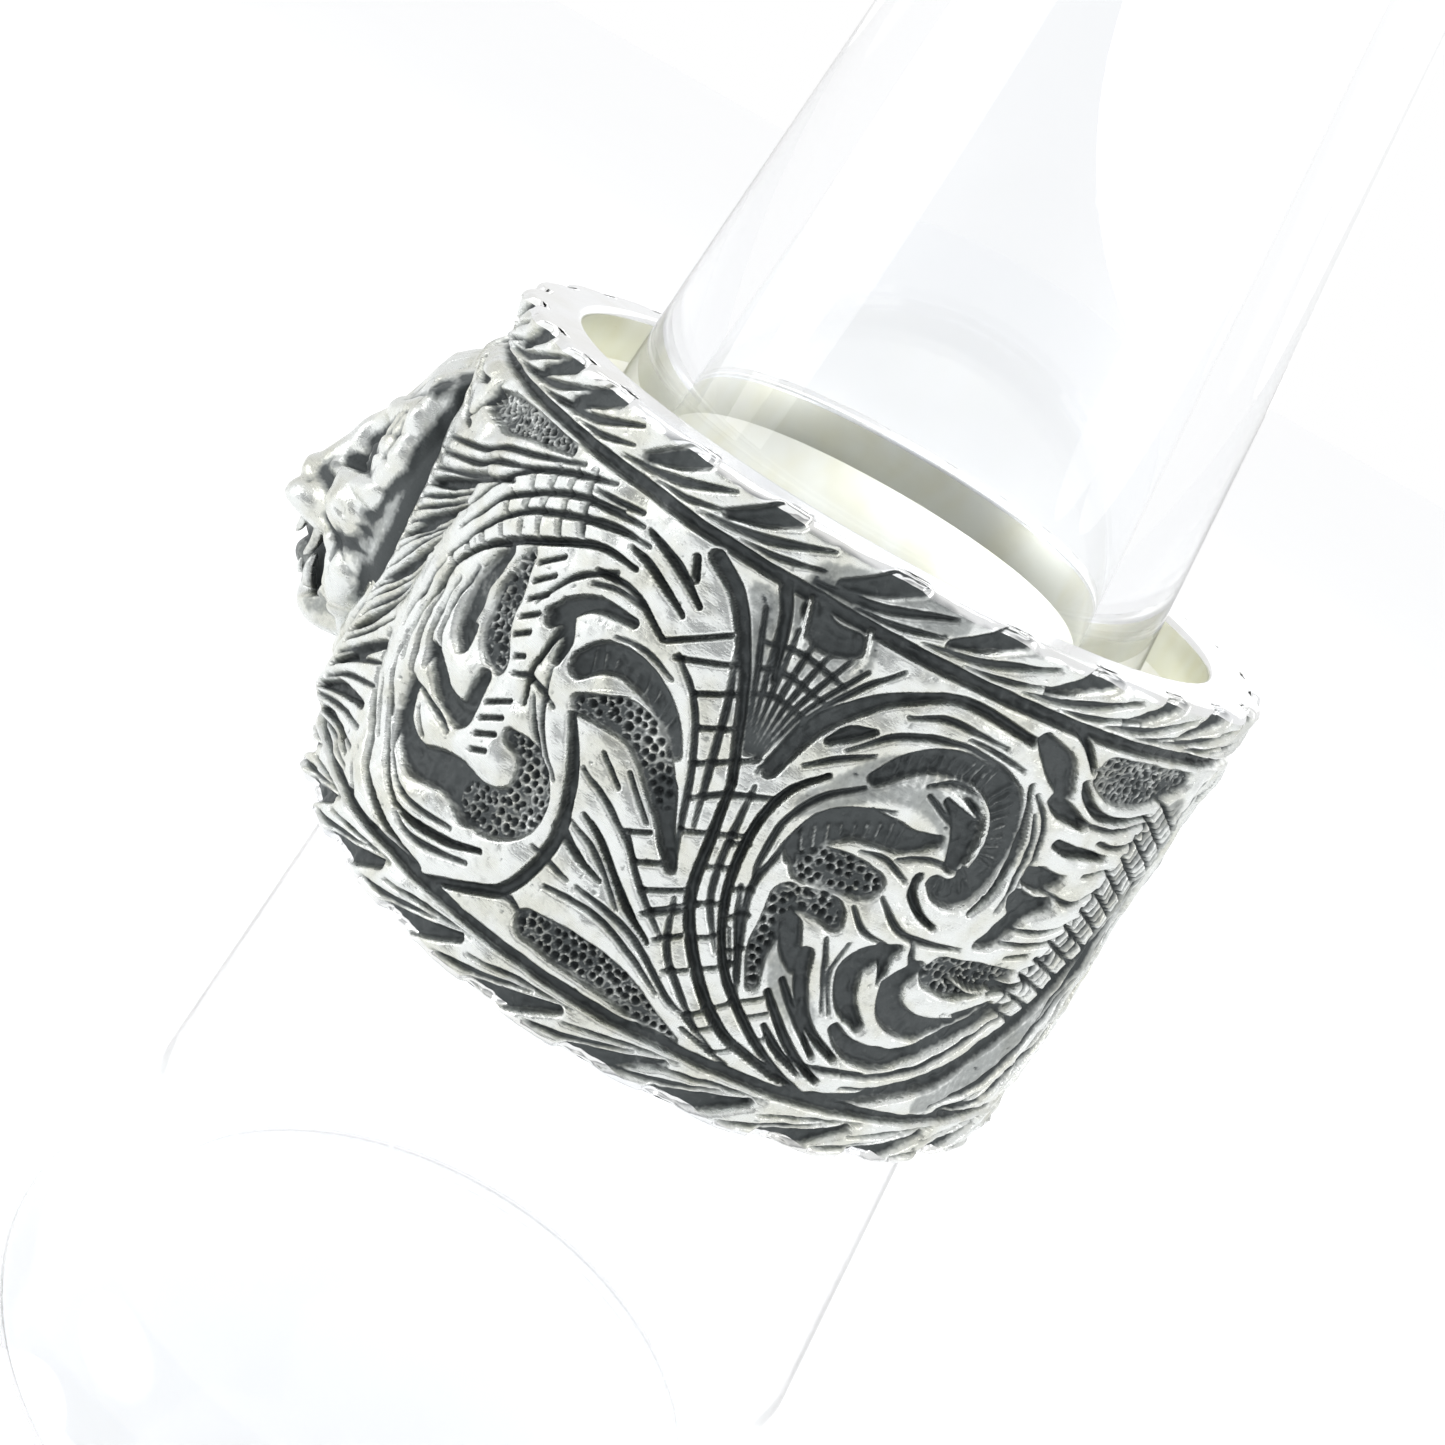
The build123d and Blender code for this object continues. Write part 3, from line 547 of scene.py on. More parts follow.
def beyond_path(path: np.ndarray, x: np.ndarray, y: np.ndarray) -> np.ndarray:
    """Distance from a path's edge, below zero inside it.

    For each straight run the nearest point is found, and the run's half width there is taken
    off the distance. The least over all runs is kept.

    Args:
        path: Rows of x, y and half width.
        x: First coordinate of the places.
        y: Second coordinate of the places.

    Returns:
        The distance at each place.
    """
    nearest = np.full(np.broadcast_shapes(x.shape, y.shape), np.inf)
    for start, end in zip(path, path[1:]):
        way = end[:2] - start[:2]
        share = ((x - start[0]) * way[0] + (y - start[1]) * way[1]) / max(way @ way, 1e-9)
        share = np.clip(share, 0.0, 1.0)
        apart = np.hypot(x - start[0] - share * way[0], y - start[1] - share * way[1])
        np.minimum(nearest, apart - start[2] - share * (end[2] - start[2]), out=nearest)
    return nearest


def soften(values: np.ndarray, radius: int) -> np.ndarray:
    """Three running means along each axis, which together come close to a bell-shaped blur.

    Args:
        values: A grid of values.
        radius: Cells on either side that a running mean takes in.

    Returns:
        The softened grid.
    """
    span = 2 * radius + 1
    for axis in (0, 1):
        for _ in range(3):
            pads = [(0, 0), (0, 0)]
            pads[axis] = (radius + 1, radius)
            total = np.cumsum(np.pad(values, pads, mode="symmetric"), axis=axis)
            high = np.take(total, range(span, total.shape[axis]), axis=axis)
            low = np.take(total, range(total.shape[axis] - span), axis=axis)
            values = (high - low) / span
    return values


def rolling_noise(shape: tuple[int, int], radius: int, draw: np.random.Generator) -> np.ndarray:
    """Random values softened over a radius in cells, and brought to a spread of one."""
    values = soften(draw.standard_normal(shape), radius)
    return (values - values.mean()) / values.std()


@dataclass
class Chart:
    """The band's outside rolled flat, for the half from azimuth 0 to 180.

    Attributes:
        radius: Radius at which a degree is measured, in millimetres.
        half_height: Half the band's width.
        cell: Width of a cell of the chart.
        path_step: Length of the straight runs that a path is cut in.
        dome: Share of the height that what stands owes to being far from an edge.
        dome_reach: How far from an edge the rounding reaches.
        swell: Share of the height that follows broad masses.
        swell_reach: How broad those masses are.
        punch_radius: Radius of a punch mark.
        punch_spacing: Distance between punch marks.
        punch_depth: Share of the relief that a mark goes down.
        punch_sizes: Least and largest size of a mark, as a share of the punch's radius.
        punch_shake: How far a mark is shaken to either side, as a share of the spacing.
        floor_slope: Share of a cut's depth that its floor falls towards its middle.
        ridge_height: Share of the relief that a ridge stands.
        comb_height: Share of the relief that a comb's line stands.
        dents: Radius in cells of each kind of dent, and its share of the relief.
        standing: Share of the relief that stands in each cell.
        oxide_and_shade: Share of dark oxide in each cell, with painted shade on the flanks.
        draw: The source of random values.
    """

    radius: float
    half_height: float
    cell: float = 0.03
    path_step: float = 0.2
    dome: float = 0.42
    dome_reach: float = 0.24
    swell: float = 0.26
    swell_reach: float = 0.60
    punch_radius: float = 0.12
    punch_spacing: float = 0.265
    punch_depth: float = 0.34
    punch_sizes: tuple[float, float] = (0.75, 1.1)
    punch_shake: float = 0.3
    floor_slope: float = 0.14
    ridge_height: float = 0.8
    comb_height: float = 0.24
    dents: tuple[tuple[int, float], ...] = ((3, 0.022), (8, 0.050), (20, 0.085))
    standing: np.ndarray = field(init=False)
    oxide_and_shade: np.ndarray = field(init=False)
    draw: np.random.Generator = field(init=False)

    def __post_init__(self) -> None:
        """Starts with the whole surface standing and clean."""
        self.per_degree = self.radius * pi / 180
        self.x = np.arange(int(180 * self.per_degree / self.cell) + 2) * self.cell
        self.y = np.arange(-self.half_height, self.half_height + self.cell, self.cell)
        self.standing = np.ones((len(self.x), len(self.y)))
        self.oxide_and_shade = np.zeros_like(self.standing)
        self.draw = np.random.default_rng(SEED)

    def window(self, low: Sequence[float], high: Sequence[float]) -> Cells:
        """The cells between two corners."""
        first = np.searchsorted(self.x, low[0]), np.searchsorted(self.y, low[1])
        last = np.searchsorted(self.x, high[0]), np.searchsorted(self.y, high[1])
        return slice(first[0], last[0]), slice(first[1], last[1])

    def measured(self, path: Path, tool: Tool) -> tuple[Cells, np.ndarray, np.ndarray]:
        """Where a path lies on the chart.

        Args:
            path: Azimuth, height and half width of each point.
            tool: The tool, for how far it reaches.

        Returns:
            The cells near it, the distance beyond its edge there, and its curve.
        """
        rows = np.array(path) * (self.per_degree, 1, 1)
        curve = flowing_path(rows, self.path_step)
        reach = curve[:, 2].max() + tool.wall + 2 * self.cell
        cells = self.window(curve[:, :2].min(0) - reach, curve[:, :2].max(0) + reach)
        beyond = beyond_path(curve, self.x[cells[0]][:, None], self.y[cells[1]][None, :])
        return cells, beyond, curve

    def take_away(self, cells: Cells, depth: np.ndarray, beyond: np.ndarray, tool: Tool) -> None:
        """Lowers what stands by a share of itself, and what is free of oxide by another.

        Args:
            cells: The cells that the tool reaches.
            depth: Share of the tool's bite at each cell.
            beyond: Distance beyond the path's edge.
            tool: The tool.
        """
        self.standing[cells] *= 1 - tool.bite * depth
        stain = tool.stain * smoothstep(tool.stain_wall, -0.02, beyond)
        self.oxide_and_shade[cells] = 1 - (1 - self.oxide_and_shade[cells]) * (1 - stain)

    def cut(self, path: Path, tool: Tool) -> None:
        """A cut with a floor: most is taken in the middle of the floor and less up the slope.

        A narrow cut has a shorter slope, and is drawn in by a little.

        Args:
            path: Azimuth, height and half width of each point.
            tool: The tool.
        """
        cells, beyond, curve = self.measured(path, tool)
        widest = curve[:, 2].max()
        slope = min(tool.wall, 0.05 + 0.5 * widest)
        beyond = beyond + 0.035 * smoothstep(0.20, 0.10, widest)
        depth = (1 - self.floor_slope) * smoothstep(slope, 0.0, beyond)
        depth += self.floor_slope * np.clip(-beyond / widest, 0, 1)
        self.take_away(cells, depth, beyond, tool)

    def score(self, path: Path, tool: Tool) -> None:
        """A groove with straight sides: it deepens evenly from its edge to its middle."""
        cells, beyond, curve = self.measured(path, tool)
        depth = np.clip((tool.wall - beyond) / (tool.wall + curve[:, 2].max()), 0, 1)
        self.take_away(cells, depth, beyond, tool)

    def raise_ridge(self, path: Path, height: float) -> None:
        """Lets a thin line stand again across a hollow, with a bright crest.

        Args:
            path: Azimuth, height and half width of each point.
            height: Share of the relief that its crest stands.
        """
        cells, beyond, _ = self.measured(path, GRAVER)
        crest = smoothstep(0.08, -0.02, beyond)
        self.standing[cells] = np.maximum(self.standing[cells], height * crest)
        self.oxide_and_shade[cells] *= 1 - smoothstep(0.05, 0.0, beyond)

    def stipple(self, path: Path) -> None:
        """Punch marks on the floor of a panel, one in each square of a shaken grid.

        A mark's depth is the square of one less the squared share of its radius, and a low
        lip round it is rubbed bright.
        """
        cells, beyond, _ = self.measured(path, PANEL)
        x, y = self.x[cells[0]], self.y[cells[1]]
        across = np.arange(x[0], x[-1], self.punch_spacing)
        up = np.arange(y[0], y[-1], self.punch_spacing)
        places = np.stack(np.meshgrid(across, up, indexing="ij"), -1).reshape(-1, 2)
        places[:, 0] += 0.5 * self.punch_spacing * (np.arange(len(places)) % len(up) % 2)
        shake = self.punch_shake * self.punch_spacing
        places += self.draw.uniform(-shake, shake, places.shape)
        sizes = self.draw.uniform(*self.punch_sizes, len(places)) * self.punch_radius
        standing, oxide_and_shade = self.standing[cells], self.oxide_and_shade[cells]
        for place, size in zip(places, sizes):
            i = slice(*np.searchsorted(x, (place[0] - 2 * size, place[0] + 2 * size)))
            j = slice(*np.searchsorted(y, (place[1] - 2 * size, place[1] + 2 * size)))
            if standing[i, j].size == 0:
                continue
            inside = smoothstep(0.04, -0.06, beyond[i, j])
            share = np.hypot(x[i][:, None] - place[0], y[j][None, :] - place[1]) / size
            bowl = np.clip(1 - share**2, 0, 1) ** 2
            lip = np.exp(-((share - 1.15) / 0.22) ** 2)
            standing[i, j] += inside * (0.10 * lip - self.punch_depth * bowl)
            oxide_and_shade[i, j] += inside * (0.5 * bowl - 0.34 * lip)

    def carve(self) -> None:
        """Cuts every region, rounds over what stands, then scores the fine lines."""
        for side in (-1, 1):
            groove = tuple((az, side * BORDER_LINE, half_width) for az, half_width in GROOVE_WIDTHS)
            self.cut(groove, BORDER_GROOVE)
        for region in FIELD:
            for path in region.hollows:
                self.cut(path, HOLLOW)
            for path in region.panels:
                self.cut(path, PANEL)
            for path in region.dulled:
                self.cut(path, TARNISH)
        for border in BORDERS:
            for az in border.places:
                self.cut(moved(border.gap, az), LEAF_GAP)
                for vein in border.veins:
                    self.cut(moved(vein, az), LEAF_VEIN)
        near = soften(self.standing, int(self.dome_reach / self.cell))
        far = soften(self.standing, int(self.swell_reach / self.cell))
        self.standing *= 1 - self.dome * (1 - near) - self.swell * (1 - far)
        for region in FIELD:
            for path in region.ridges:
                self.raise_ridge(path, self.ridge_height)
            for path in region.combs:
                self.raise_ridge(path, self.comb_height)
            for path in region.scores:
                self.score(path, GRAVER)
        for region in FIELD:
            for path in region.panels:
                self.stipple(path)
        self.wear()

    def wear(self) -> None:
        """Small dents and hammering, rough floors, and oxide in what lies low.

        Oxide lies where little stands, in patches, and at the foot of a wall. A grey film on
        the flanks, and a broad darkening where the surface lies below its surroundings, are
        partly oxide and partly painted shade of the flanks. What stands proud of its
        surroundings is rubbed bright. Small pits are left from the casting.
        """
        shape = self.standing.shape
        dents = sum(share * rolling_noise(shape, radius, self.draw) for radius, share in self.dents)
        patches, grit = rolling_noise(shape, 11, self.draw), rolling_noise(shape, 2, self.draw)
        low = smoothstep(0.46, 0.12, self.standing)
        shaded_flank = smoothstep(0.80, 0.35, self.standing)
        pits = smoothstep(2.2, 2.9, rolling_noise(shape, 1, self.draw)) * (1 - low)
        self.standing += (1 - 0.65 * low) * dents + 0.05 * low * grit - 0.10 * pits
        sunk = soften(self.standing, 4) - self.standing
        wide = soften(self.standing, 13) - self.standing
        # Painted shade as well as oxide: the film on the flanks and the broad term below darken the flanks
        # as their shading would.
        self.oxide_and_shade += low * np.clip(0.62 + 0.24 * patches + 0.12 * grit, 0.15, 1.0) + 0.22 * shaded_flank
        self.oxide_and_shade += 1.1 * np.clip(sunk - 0.03, 0, 0.5) + 0.45 * np.clip(wide, 0, 0.5) + 0.5 * pits
        self.oxide_and_shade -= 1.3 * np.clip(-sunk - 0.03, 0, 0.4) + 0.25 * np.clip(-wide, 0, 0.5)
        self.oxide_and_shade = np.clip(self.oxide_and_shade, 0.0, 1.0)

    def read(self, values: np.ndarray, azimuth: np.ndarray, height: np.ndarray) -> np.ndarray:
        """Values at places on the band, straight between the cells.

        Args:
            values: A grid of the chart.
            azimuth: Degrees round the band, mirrored onto the charted half.
            height: Height from the middle of the ring.

        Returns:
            The value at each place.
        """
        u = np.clip(folded(azimuth) * self.per_degree / self.cell, 0, len(self.x) - 1.001)
        v = np.clip((height + self.half_height) / self.cell, 0, len(self.y) - 1.001)
        i, j = u.astype(int), v.astype(int)
        s, t = u - i, v - j
        low = values[i, j] * (1 - s) + values[i + 1, j] * s
        high = values[i, j + 1] * (1 - s) + values[i + 1, j + 1] * s
        return low * (1 - t) + high * t


def show(data: bpy.types.ID) -> bpy.types.Object:
    """An object in the scene, at the origin, for a mesh, a light or a camera."""
    shown = bpy.data.objects.new(data.name, data)
    bpy.context.scene.collection.objects.link(shown)
    return shown


def turn_outwards(mesh: bpy.types.Mesh) -> None:
    """Turns every face of closed solids outwards."""
    work = bmesh.new()
    work.from_mesh(mesh)
    bmesh.ops.recalc_face_normals(work, faces=work.faces)
    work.to_mesh(mesh)
    work.free()


def keep_oxide_and_shade(mesh: bpy.types.Mesh, oxide_and_shade: np.ndarray) -> None:
    """Keeps a share of oxide and painted shade at each of a mesh's points."""
    values = mesh.attributes.new(OXIDE_AND_SHADE, "FLOAT", "POINT").data
    values.foreach_set("value", oxide_and_shade.astype(np.float32).ravel())


def smooth_mesh(name: str, points: np.ndarray, faces: list) -> bpy.types.Mesh:
    """A smoothly shaded mesh of points, in millimetres, and faces."""
    mesh = bpy.data.meshes.new(name)
    mesh.from_pydata((points * METRES).tolist(), [], faces)
    mesh.polygons.foreach_set("use_smooth", np.ones(len(faces), bool))
    return mesh


def between_rings(grid: np.ndarray) -> np.ndarray:
    """Faces between closed rings of points. Each row of the grid has the numbers of one ring."""
    nxt = np.roll(grid, -1, 1)
    return np.stack([grid[:-1], grid[1:], nxt[1:], nxt[:-1]], -1).reshape(-1, 4)


def enclosed_volume(points: np.ndarray, quads: np.ndarray) -> float:
    """Volume inside faces, as the sum of signed tetrahedra to the origin."""
    a, b, c, d = (points[quads[:, k]] for k in range(4))
    crossed = np.cross(b, c) + np.cross(c, d)
    return float(np.einsum("ij,ij->", a, crossed)) / 6


@dataclass
class SweptSolid:
    """A closed solid: sections along a path, each a closed loop of points.

    Attributes:
        name: Name of the piece.
        points: Points with the section as the first index and the place in its loop as the
            second, in millimetres from the frame's origin.
        ring: Whether the last section joins the first.
        corners: Places in the loop along which an edge stays sharp.
        weights: How much of the bake map's height each step of the loop gets.
        oxide_and_shade: Share of dark oxide at each point, with painted shade in it.
        normals: Directions to shade by, zero where the faces' own are used.
        finish: Number of the material for each step of the loop.
    """

    name: str
    points: np.ndarray
    ring: bool = False
    corners: tuple[int, ...] = ()
    weights: np.ndarray | None = None
    oxide_and_shade: np.ndarray | None = None
    normals: np.ndarray | None = None
    finish: np.ndarray | None = None

    def build(self) -> bpy.types.Object:
        """Makes the mesh, its edges, its bake map and its oxide and painted shade.

        Returns:
            The object.
        """
        count, loop = self.points.shape[:2]
        flat = self.points.reshape(-1, 3)
        quads, maps, places = self.walls(count, loop)
        caps = [] if self.ring else [np.arange(loop)[::-1], np.arange(loop) + (count - 1) * loop]
        if enclosed_volume(flat, quads) < 0:
            quads, maps = quads[:, ::-1], maps[:, ::-1]
            caps = [cap[::-1] for cap in caps]
        mesh = smooth_mesh(self.name, flat, quads.tolist() + [cap.tolist() for cap in caps])
        if self.finish is not None:
            chosen = np.concatenate([self.finish[places], np.zeros(len(caps), int)])
            mesh.polygons.foreach_set("material_index", chosen.astype(np.int32))
        self.mark_edges(mesh, count, loop)
        layer = mesh.uv_layers.new(name=BAKE_MAP)
        spots = [self.cap_places(cap, index) for index, cap in enumerate(caps)]
        spots = np.concatenate([maps.reshape(-1, 2), *spots])
        layer.data.foreach_set("uv", spots.astype(np.float32).ravel())
        keep_oxide_and_shade(mesh, np.zeros(len(flat)) if self.oxide_and_shade is None else self.oxide_and_shade)
        mesh.validate(clean_customdata=False)
        if self.normals is not None:
            mesh.normals_split_custom_set_from_vertices(self.normals.reshape(-1, 3).tolist())
        return show(mesh)

    def walls(self, count: int, loop: int) -> tuple[np.ndarray, np.ndarray, np.ndarray]:
        """The faces between the sections.

        Args:
            count: How many sections there are.
            loop: How many points each has.

        Returns:
            The points of each face, their places on the bake map, and each face's place in the
            loop.
        """
        sections = np.arange(count if self.ring else count - 1)
        i, j = np.meshgrid(sections, np.arange(loop), indexing="ij")
        steps = ((0, 0), (1, 0), (1, 1), (0, 1))
        quads = np.stack([((i + a) % count) * loop + (j + b) % loop for a, b in steps], -1)
        spots = self.map_places(count, loop)
        maps = np.stack([spots[i + a, j + b] for a, b in steps], -2)
        return quads.reshape(-1, 4), maps.reshape(-1, 4, 2), j.ravel()

    def map_places(self, count: int, loop: int) -> np.ndarray:
        """Place of each grid corner on the bake map, above the strip that the caps use."""
        weights = np.ones(loop) if self.weights is None else self.weights
        up = np.concatenate([[0], np.cumsum(weights)]) / weights.sum()
        across = np.linspace(0.001, 0.999, count + 1 if self.ring else count)
        grid = np.meshgrid(across, 0.031 + 0.968 * up, indexing="ij")
        return np.stack(grid, -1)

    def cap_places(self, cap: np.ndarray, index: int) -> np.ndarray:
        """Places of an end cap in its strip of the bake map."""
        flat = self.points.reshape(-1, 3)[cap]
        span = np.hypot(flat[:, 0], flat[:, 1]), flat[:, 2]
        share = [(s - s.min()) / max(np.ptp(s), 1e-9) for s in span]
        return np.stack([0.01 + 0.5 * index + 0.45 * share[1], 0.004 + 0.02 * share[0]], -1)

    def mark_edges(self, mesh: bpy.types.Mesh, count: int, loop: int) -> None:
        """Keeps the edges along the corners and round the caps sharp."""
        ends = np.empty(2 * len(mesh.edges), np.int32)
        mesh.edges.foreach_get("vertices", ends)
        section, place = np.divmod(ends.reshape(-1, 2), loop)
        sharp = (place[:, 0] == place[:, 1]) & np.isin(place[:, 0], self.corners)
        if not self.ring:
            same = section[:, 0] == section[:, 1]
            sharp |= same & ((section[:, 0] == 0) | (section[:, 0] == count - 1))
        mesh.attributes.new("sharp_edge", "BOOLEAN", "EDGE").data.foreach_set("value", sharp)


class Wire:
    """A shader socket that Python's operators work on."""

    def __init__(self, graph: "Graph", socket: bpy.types.NodeSocket) -> None:
        """Keeps the socket, and the graph for what is worked out from it."""
        self.graph = graph
        self.socket = socket

    def __add__(self, other: "Wire | float") -> "Wire":
        """The sum."""
        return self.graph.math("ADD", self, other)

    __radd__ = __add__

    def __mul__(self, other: "Wire | float") -> "Wire":
        """The product."""
        return self.graph.math("MULTIPLY", self, other)

    __rmul__ = __mul__

    def __sub__(self, other: "Wire | float") -> "Wire":
        """This less the other."""
        return self.graph.math("SUBTRACT", self, other)

    def __rsub__(self, other: float) -> "Wire":
        """The other less this."""
        return self.graph.math("SUBTRACT", other, self)

    def between(self, low: float, high: float) -> "Wire":
        """A smooth rise from 0 at low to 1 at high."""
        node = self.graph.node(
            "ShaderNodeMapRange", {"interpolation_type": "SMOOTHSTEP"},
            {"Value": self, "From Min": low, "From Max": high},
        )
        return Wire(self.graph, node.outputs["Result"])


class Graph:
    """The nodes of a material or of the world."""

    def __init__(self, owner: bpy.types.Material | bpy.types.World) -> None:
        """Starts with no nodes."""
        owner.use_nodes = True
        self.owner = owner
        self.tree = owner.node_tree
        self.tree.nodes.clear()

    def node(self, kind: str, settings: dict | None = None, values: dict | None = None) -> bpy.types.Node:
        """Adds a node.

        Args:
            kind: Blender's name for its type.
            settings: Properties, set first because they may change its sockets.
            values: A value or a wire for each socket, by the socket's name or number.

        Returns:
            The node.
        """
        made = self.tree.nodes.new(kind)
        for key, value in (settings or {}).items():
            setattr(made, key, value)
        for key, value in (values or {}).items():
            if isinstance(value, Wire):
                self.tree.links.new(value.socket, made.inputs[key])
            else:
                made.inputs[key].default_value = value
        return made

    def math(self, operation: str, first: Wire | float, second: Wire | float) -> Wire:
        """A sum, a difference or a product."""
        made = self.node("ShaderNodeMath", {"operation": operation}, {0: first, 1: second})
        return Wire(self, made.outputs[0])

    def blend(self, share: Wire | float, first: Wire | tuple, second: Wire | tuple) -> Wire:
        """A colour between two, the second where the share is 1."""
        made = self.node("ShaderNodeMix", {"data_type": "RGBA"}, {0: share, 6: first, 7: second})
        return Wire(self, made.outputs[2])

    def attribute(self, name: str) -> Wire:
        """A value kept on the mesh."""
        made = self.node("ShaderNodeAttribute", {"attribute_name": name})
        return Wire(self, made.outputs["Fac"])

    def noise(self, size: float, detail: float, stretch: Point = (1, 1, 1)) -> Wire:
        """Noise on Object coordinates.

        Args:
            size: Size of its features, in millimetres.
            detail: How many finer layers it has.
            stretch: How much denser it is along each axis.

        Returns:
            Values round one half.
        """
        place = self.node("ShaderNodeTexCoord")
        scaled = self.node(
            "ShaderNodeMapping", None,
            {"Vector": Wire(self, place.outputs["Object"]), "Scale": stretch},
        )
        made = self.node(
            "ShaderNodeTexNoise", None,
            {"Vector": Wire(self, scaled.outputs[0]), "Scale": 1 / (size * METRES), "Detail": detail},
        )
        return Wire(self, made.outputs[0])

    def bump(self, height: Wire, depth: float, strength: float) -> Wire:
        """The normal of a dented surface, with the depth of a height of 1 in millimetres."""
        made = self.node(
            "ShaderNodeBump", None,
            {"Strength": strength, "Distance": depth * METRES, "Height": height},
        )
        return Wire(self, made.outputs[0])

    def finish(self, values: dict) -> bpy.types.Material:
        """Ends the material in one Principled shader, with a value or a wire for each socket."""
        shader = self.node("ShaderNodeBsdfPrincipled", None, values)
        self.node("ShaderNodeOutputMaterial", None, {"Surface": Wire(self, shader.outputs[0])})
        return self.owner


@dataclass(frozen=True)
class OxidisedSilver:
    """Carved silver: rubbed bright on what stands, with dark oxide left in the hollows, and painted shade
    in its film and oxide colours.
    """

    bright: Colour = (0.71, 0.73, 0.715, 1)
    warm: Colour = (0.62, 0.625, 0.565, 1)
    film_and_shade: Colour = (0.20, 0.215, 0.212, 1)
    oxide_and_shade: Colour = (0.068, 0.077, 0.079, 1)

    @cache
    def material(self) -> bpy.types.Material:
        """The finish, driven by the oxide and painted shade kept on the mesh, and made once for all the
        silver.
        """
        g = Graph(bpy.data.materials.new("oxidised_silver_carved"))
        patches, specks, fine = g.noise(1.1, 2), g.noise(0.16, 2), g.noise(0.05, 1)
        scratches = g.noise(0.12, 1, (0.25, 0.25, 2.6))
        kept = g.attribute(OXIDE_AND_SHADE) + 0.6 * (specks - 0.5) + 0.35 * (patches - 0.5)
        # The film and oxide colours below also paint shade, wherever the mesh value carries it.
        dark = kept.between(0.42, 0.92)
        film_and_shade = kept.between(0.02, 0.45)
        metal = g.blend(patches.between(0.38, 0.70), self.bright, self.warm)
        filmed = g.blend(0.72 * film_and_shade, metal, self.film_and_shade)
        grain = 0.6 * fine + 0.4 * scratches
        return g.finish({
            "Base Color": g.blend(dark, filmed, self.oxide_and_shade),
            "Metallic": 1 - 0.55 * dark,
            "Roughness": 0.20 + 0.16 * scratches + 0.12 * film_and_shade + 0.14 * dark,
            "Normal": g.bump(grain + 1.2 * specks, 0.028, 0.5),
        })


@dataclass(frozen=True)
class RubbedSilver:
    """Plain silver of the rims and the bore, polished with fine rub marks and a warm cast."""

    name: str
    bright: Colour
    warm: Colour
    roughness: float
    stretch: Point

    def material(self) -> bpy.types.Material:
        """The finish, with rub marks that run round the band."""
        g = Graph(bpy.data.materials.new(self.name))
        patches, marks = g.noise(2.2, 2), g.noise(0.22, 2, self.stretch)
        return g.finish({
            "Base Color": g.blend(patches.between(0.35, 0.70), self.bright, self.warm),
            "Metallic": 1.0,
            "Roughness": self.roughness + 0.14 * marks,
            "Normal": g.bump(marks, 0.006, 0.4),
        })


POLISHED_RIM = RubbedSilver(
    "rubbed_silver_rim",
    bright=(0.82, 0.83, 0.84, 1),
    warm=(0.75, 0.75, 0.73, 1),
    roughness=0.12,
    stretch=(1, 1, 1),
)
SATIN_BORE = RubbedSilver(
    "satin_silver_bore",
    bright=(0.90, 0.91, 0.83, 1),
    warm=(0.84, 0.83, 0.68, 1),
    roughness=0.24,
    stretch=(1, 1, 4),
)


@dataclass(frozen=True)
class ClearAcrylic:
    """Clear cast acrylic with a few faint scuffs."""

    tint: Colour = (0.985, 0.992, 1.0, 1)
    ior: float = 1.49

    def material(self) -> bpy.types.Material:
        """The finish, with light passing through it."""
        g = Graph(bpy.data.materials.new("clear_acrylic_cast"))
        scuffs = g.noise(0.9, 2, (1, 1, 0.3)).between(0.62, 0.74)
        return g.finish({
            "Base Color": self.tint,
            "Transmission Weight": 1.0,
            "IOR": self.ior,
            "Roughness": 0.012 + 0.05 * scuffs,
            "Normal": g.bump(g.noise(5.0, 0), 0.02, 0.15),
        })


@dataclass(frozen=True)
class PaleCard:
    """The matt pale card of the floor, lit a little from below."""

    colour: Colour = (0.96, 0.965, 0.97, 1)
    other: Colour = (0.945, 0.95, 0.96, 1)
    glow: float = 0.07

    def material(self) -> bpy.types.Material:
        """The finish, with a soft mottle."""
        g = Graph(bpy.data.materials.new("pale_card"))
        return g.finish({
            "Base Color": g.blend(g.noise(40.0, 0), self.colour, self.other),
            "Emission Color": self.colour,
            "Emission Strength": self.glow,
            "Roughness": 0.9,
        })


class Face(Enum):
    """Which finish a step of the band's section has."""

    CARVED = 0
    RIM = 1
    BORE = 2


def round_the_band(radius: np.ndarray, azimuth: np.ndarray, height: np.ndarray,
                   middle: float) -> np.ndarray:
    """Points at a radius, a chart azimuth and a height from the middle of the ring."""
    turn = np.radians(azimuth)
    return np.stack([radius * np.sin(turn), -radius * np.cos(turn), height + middle + 0 * turn], -1)


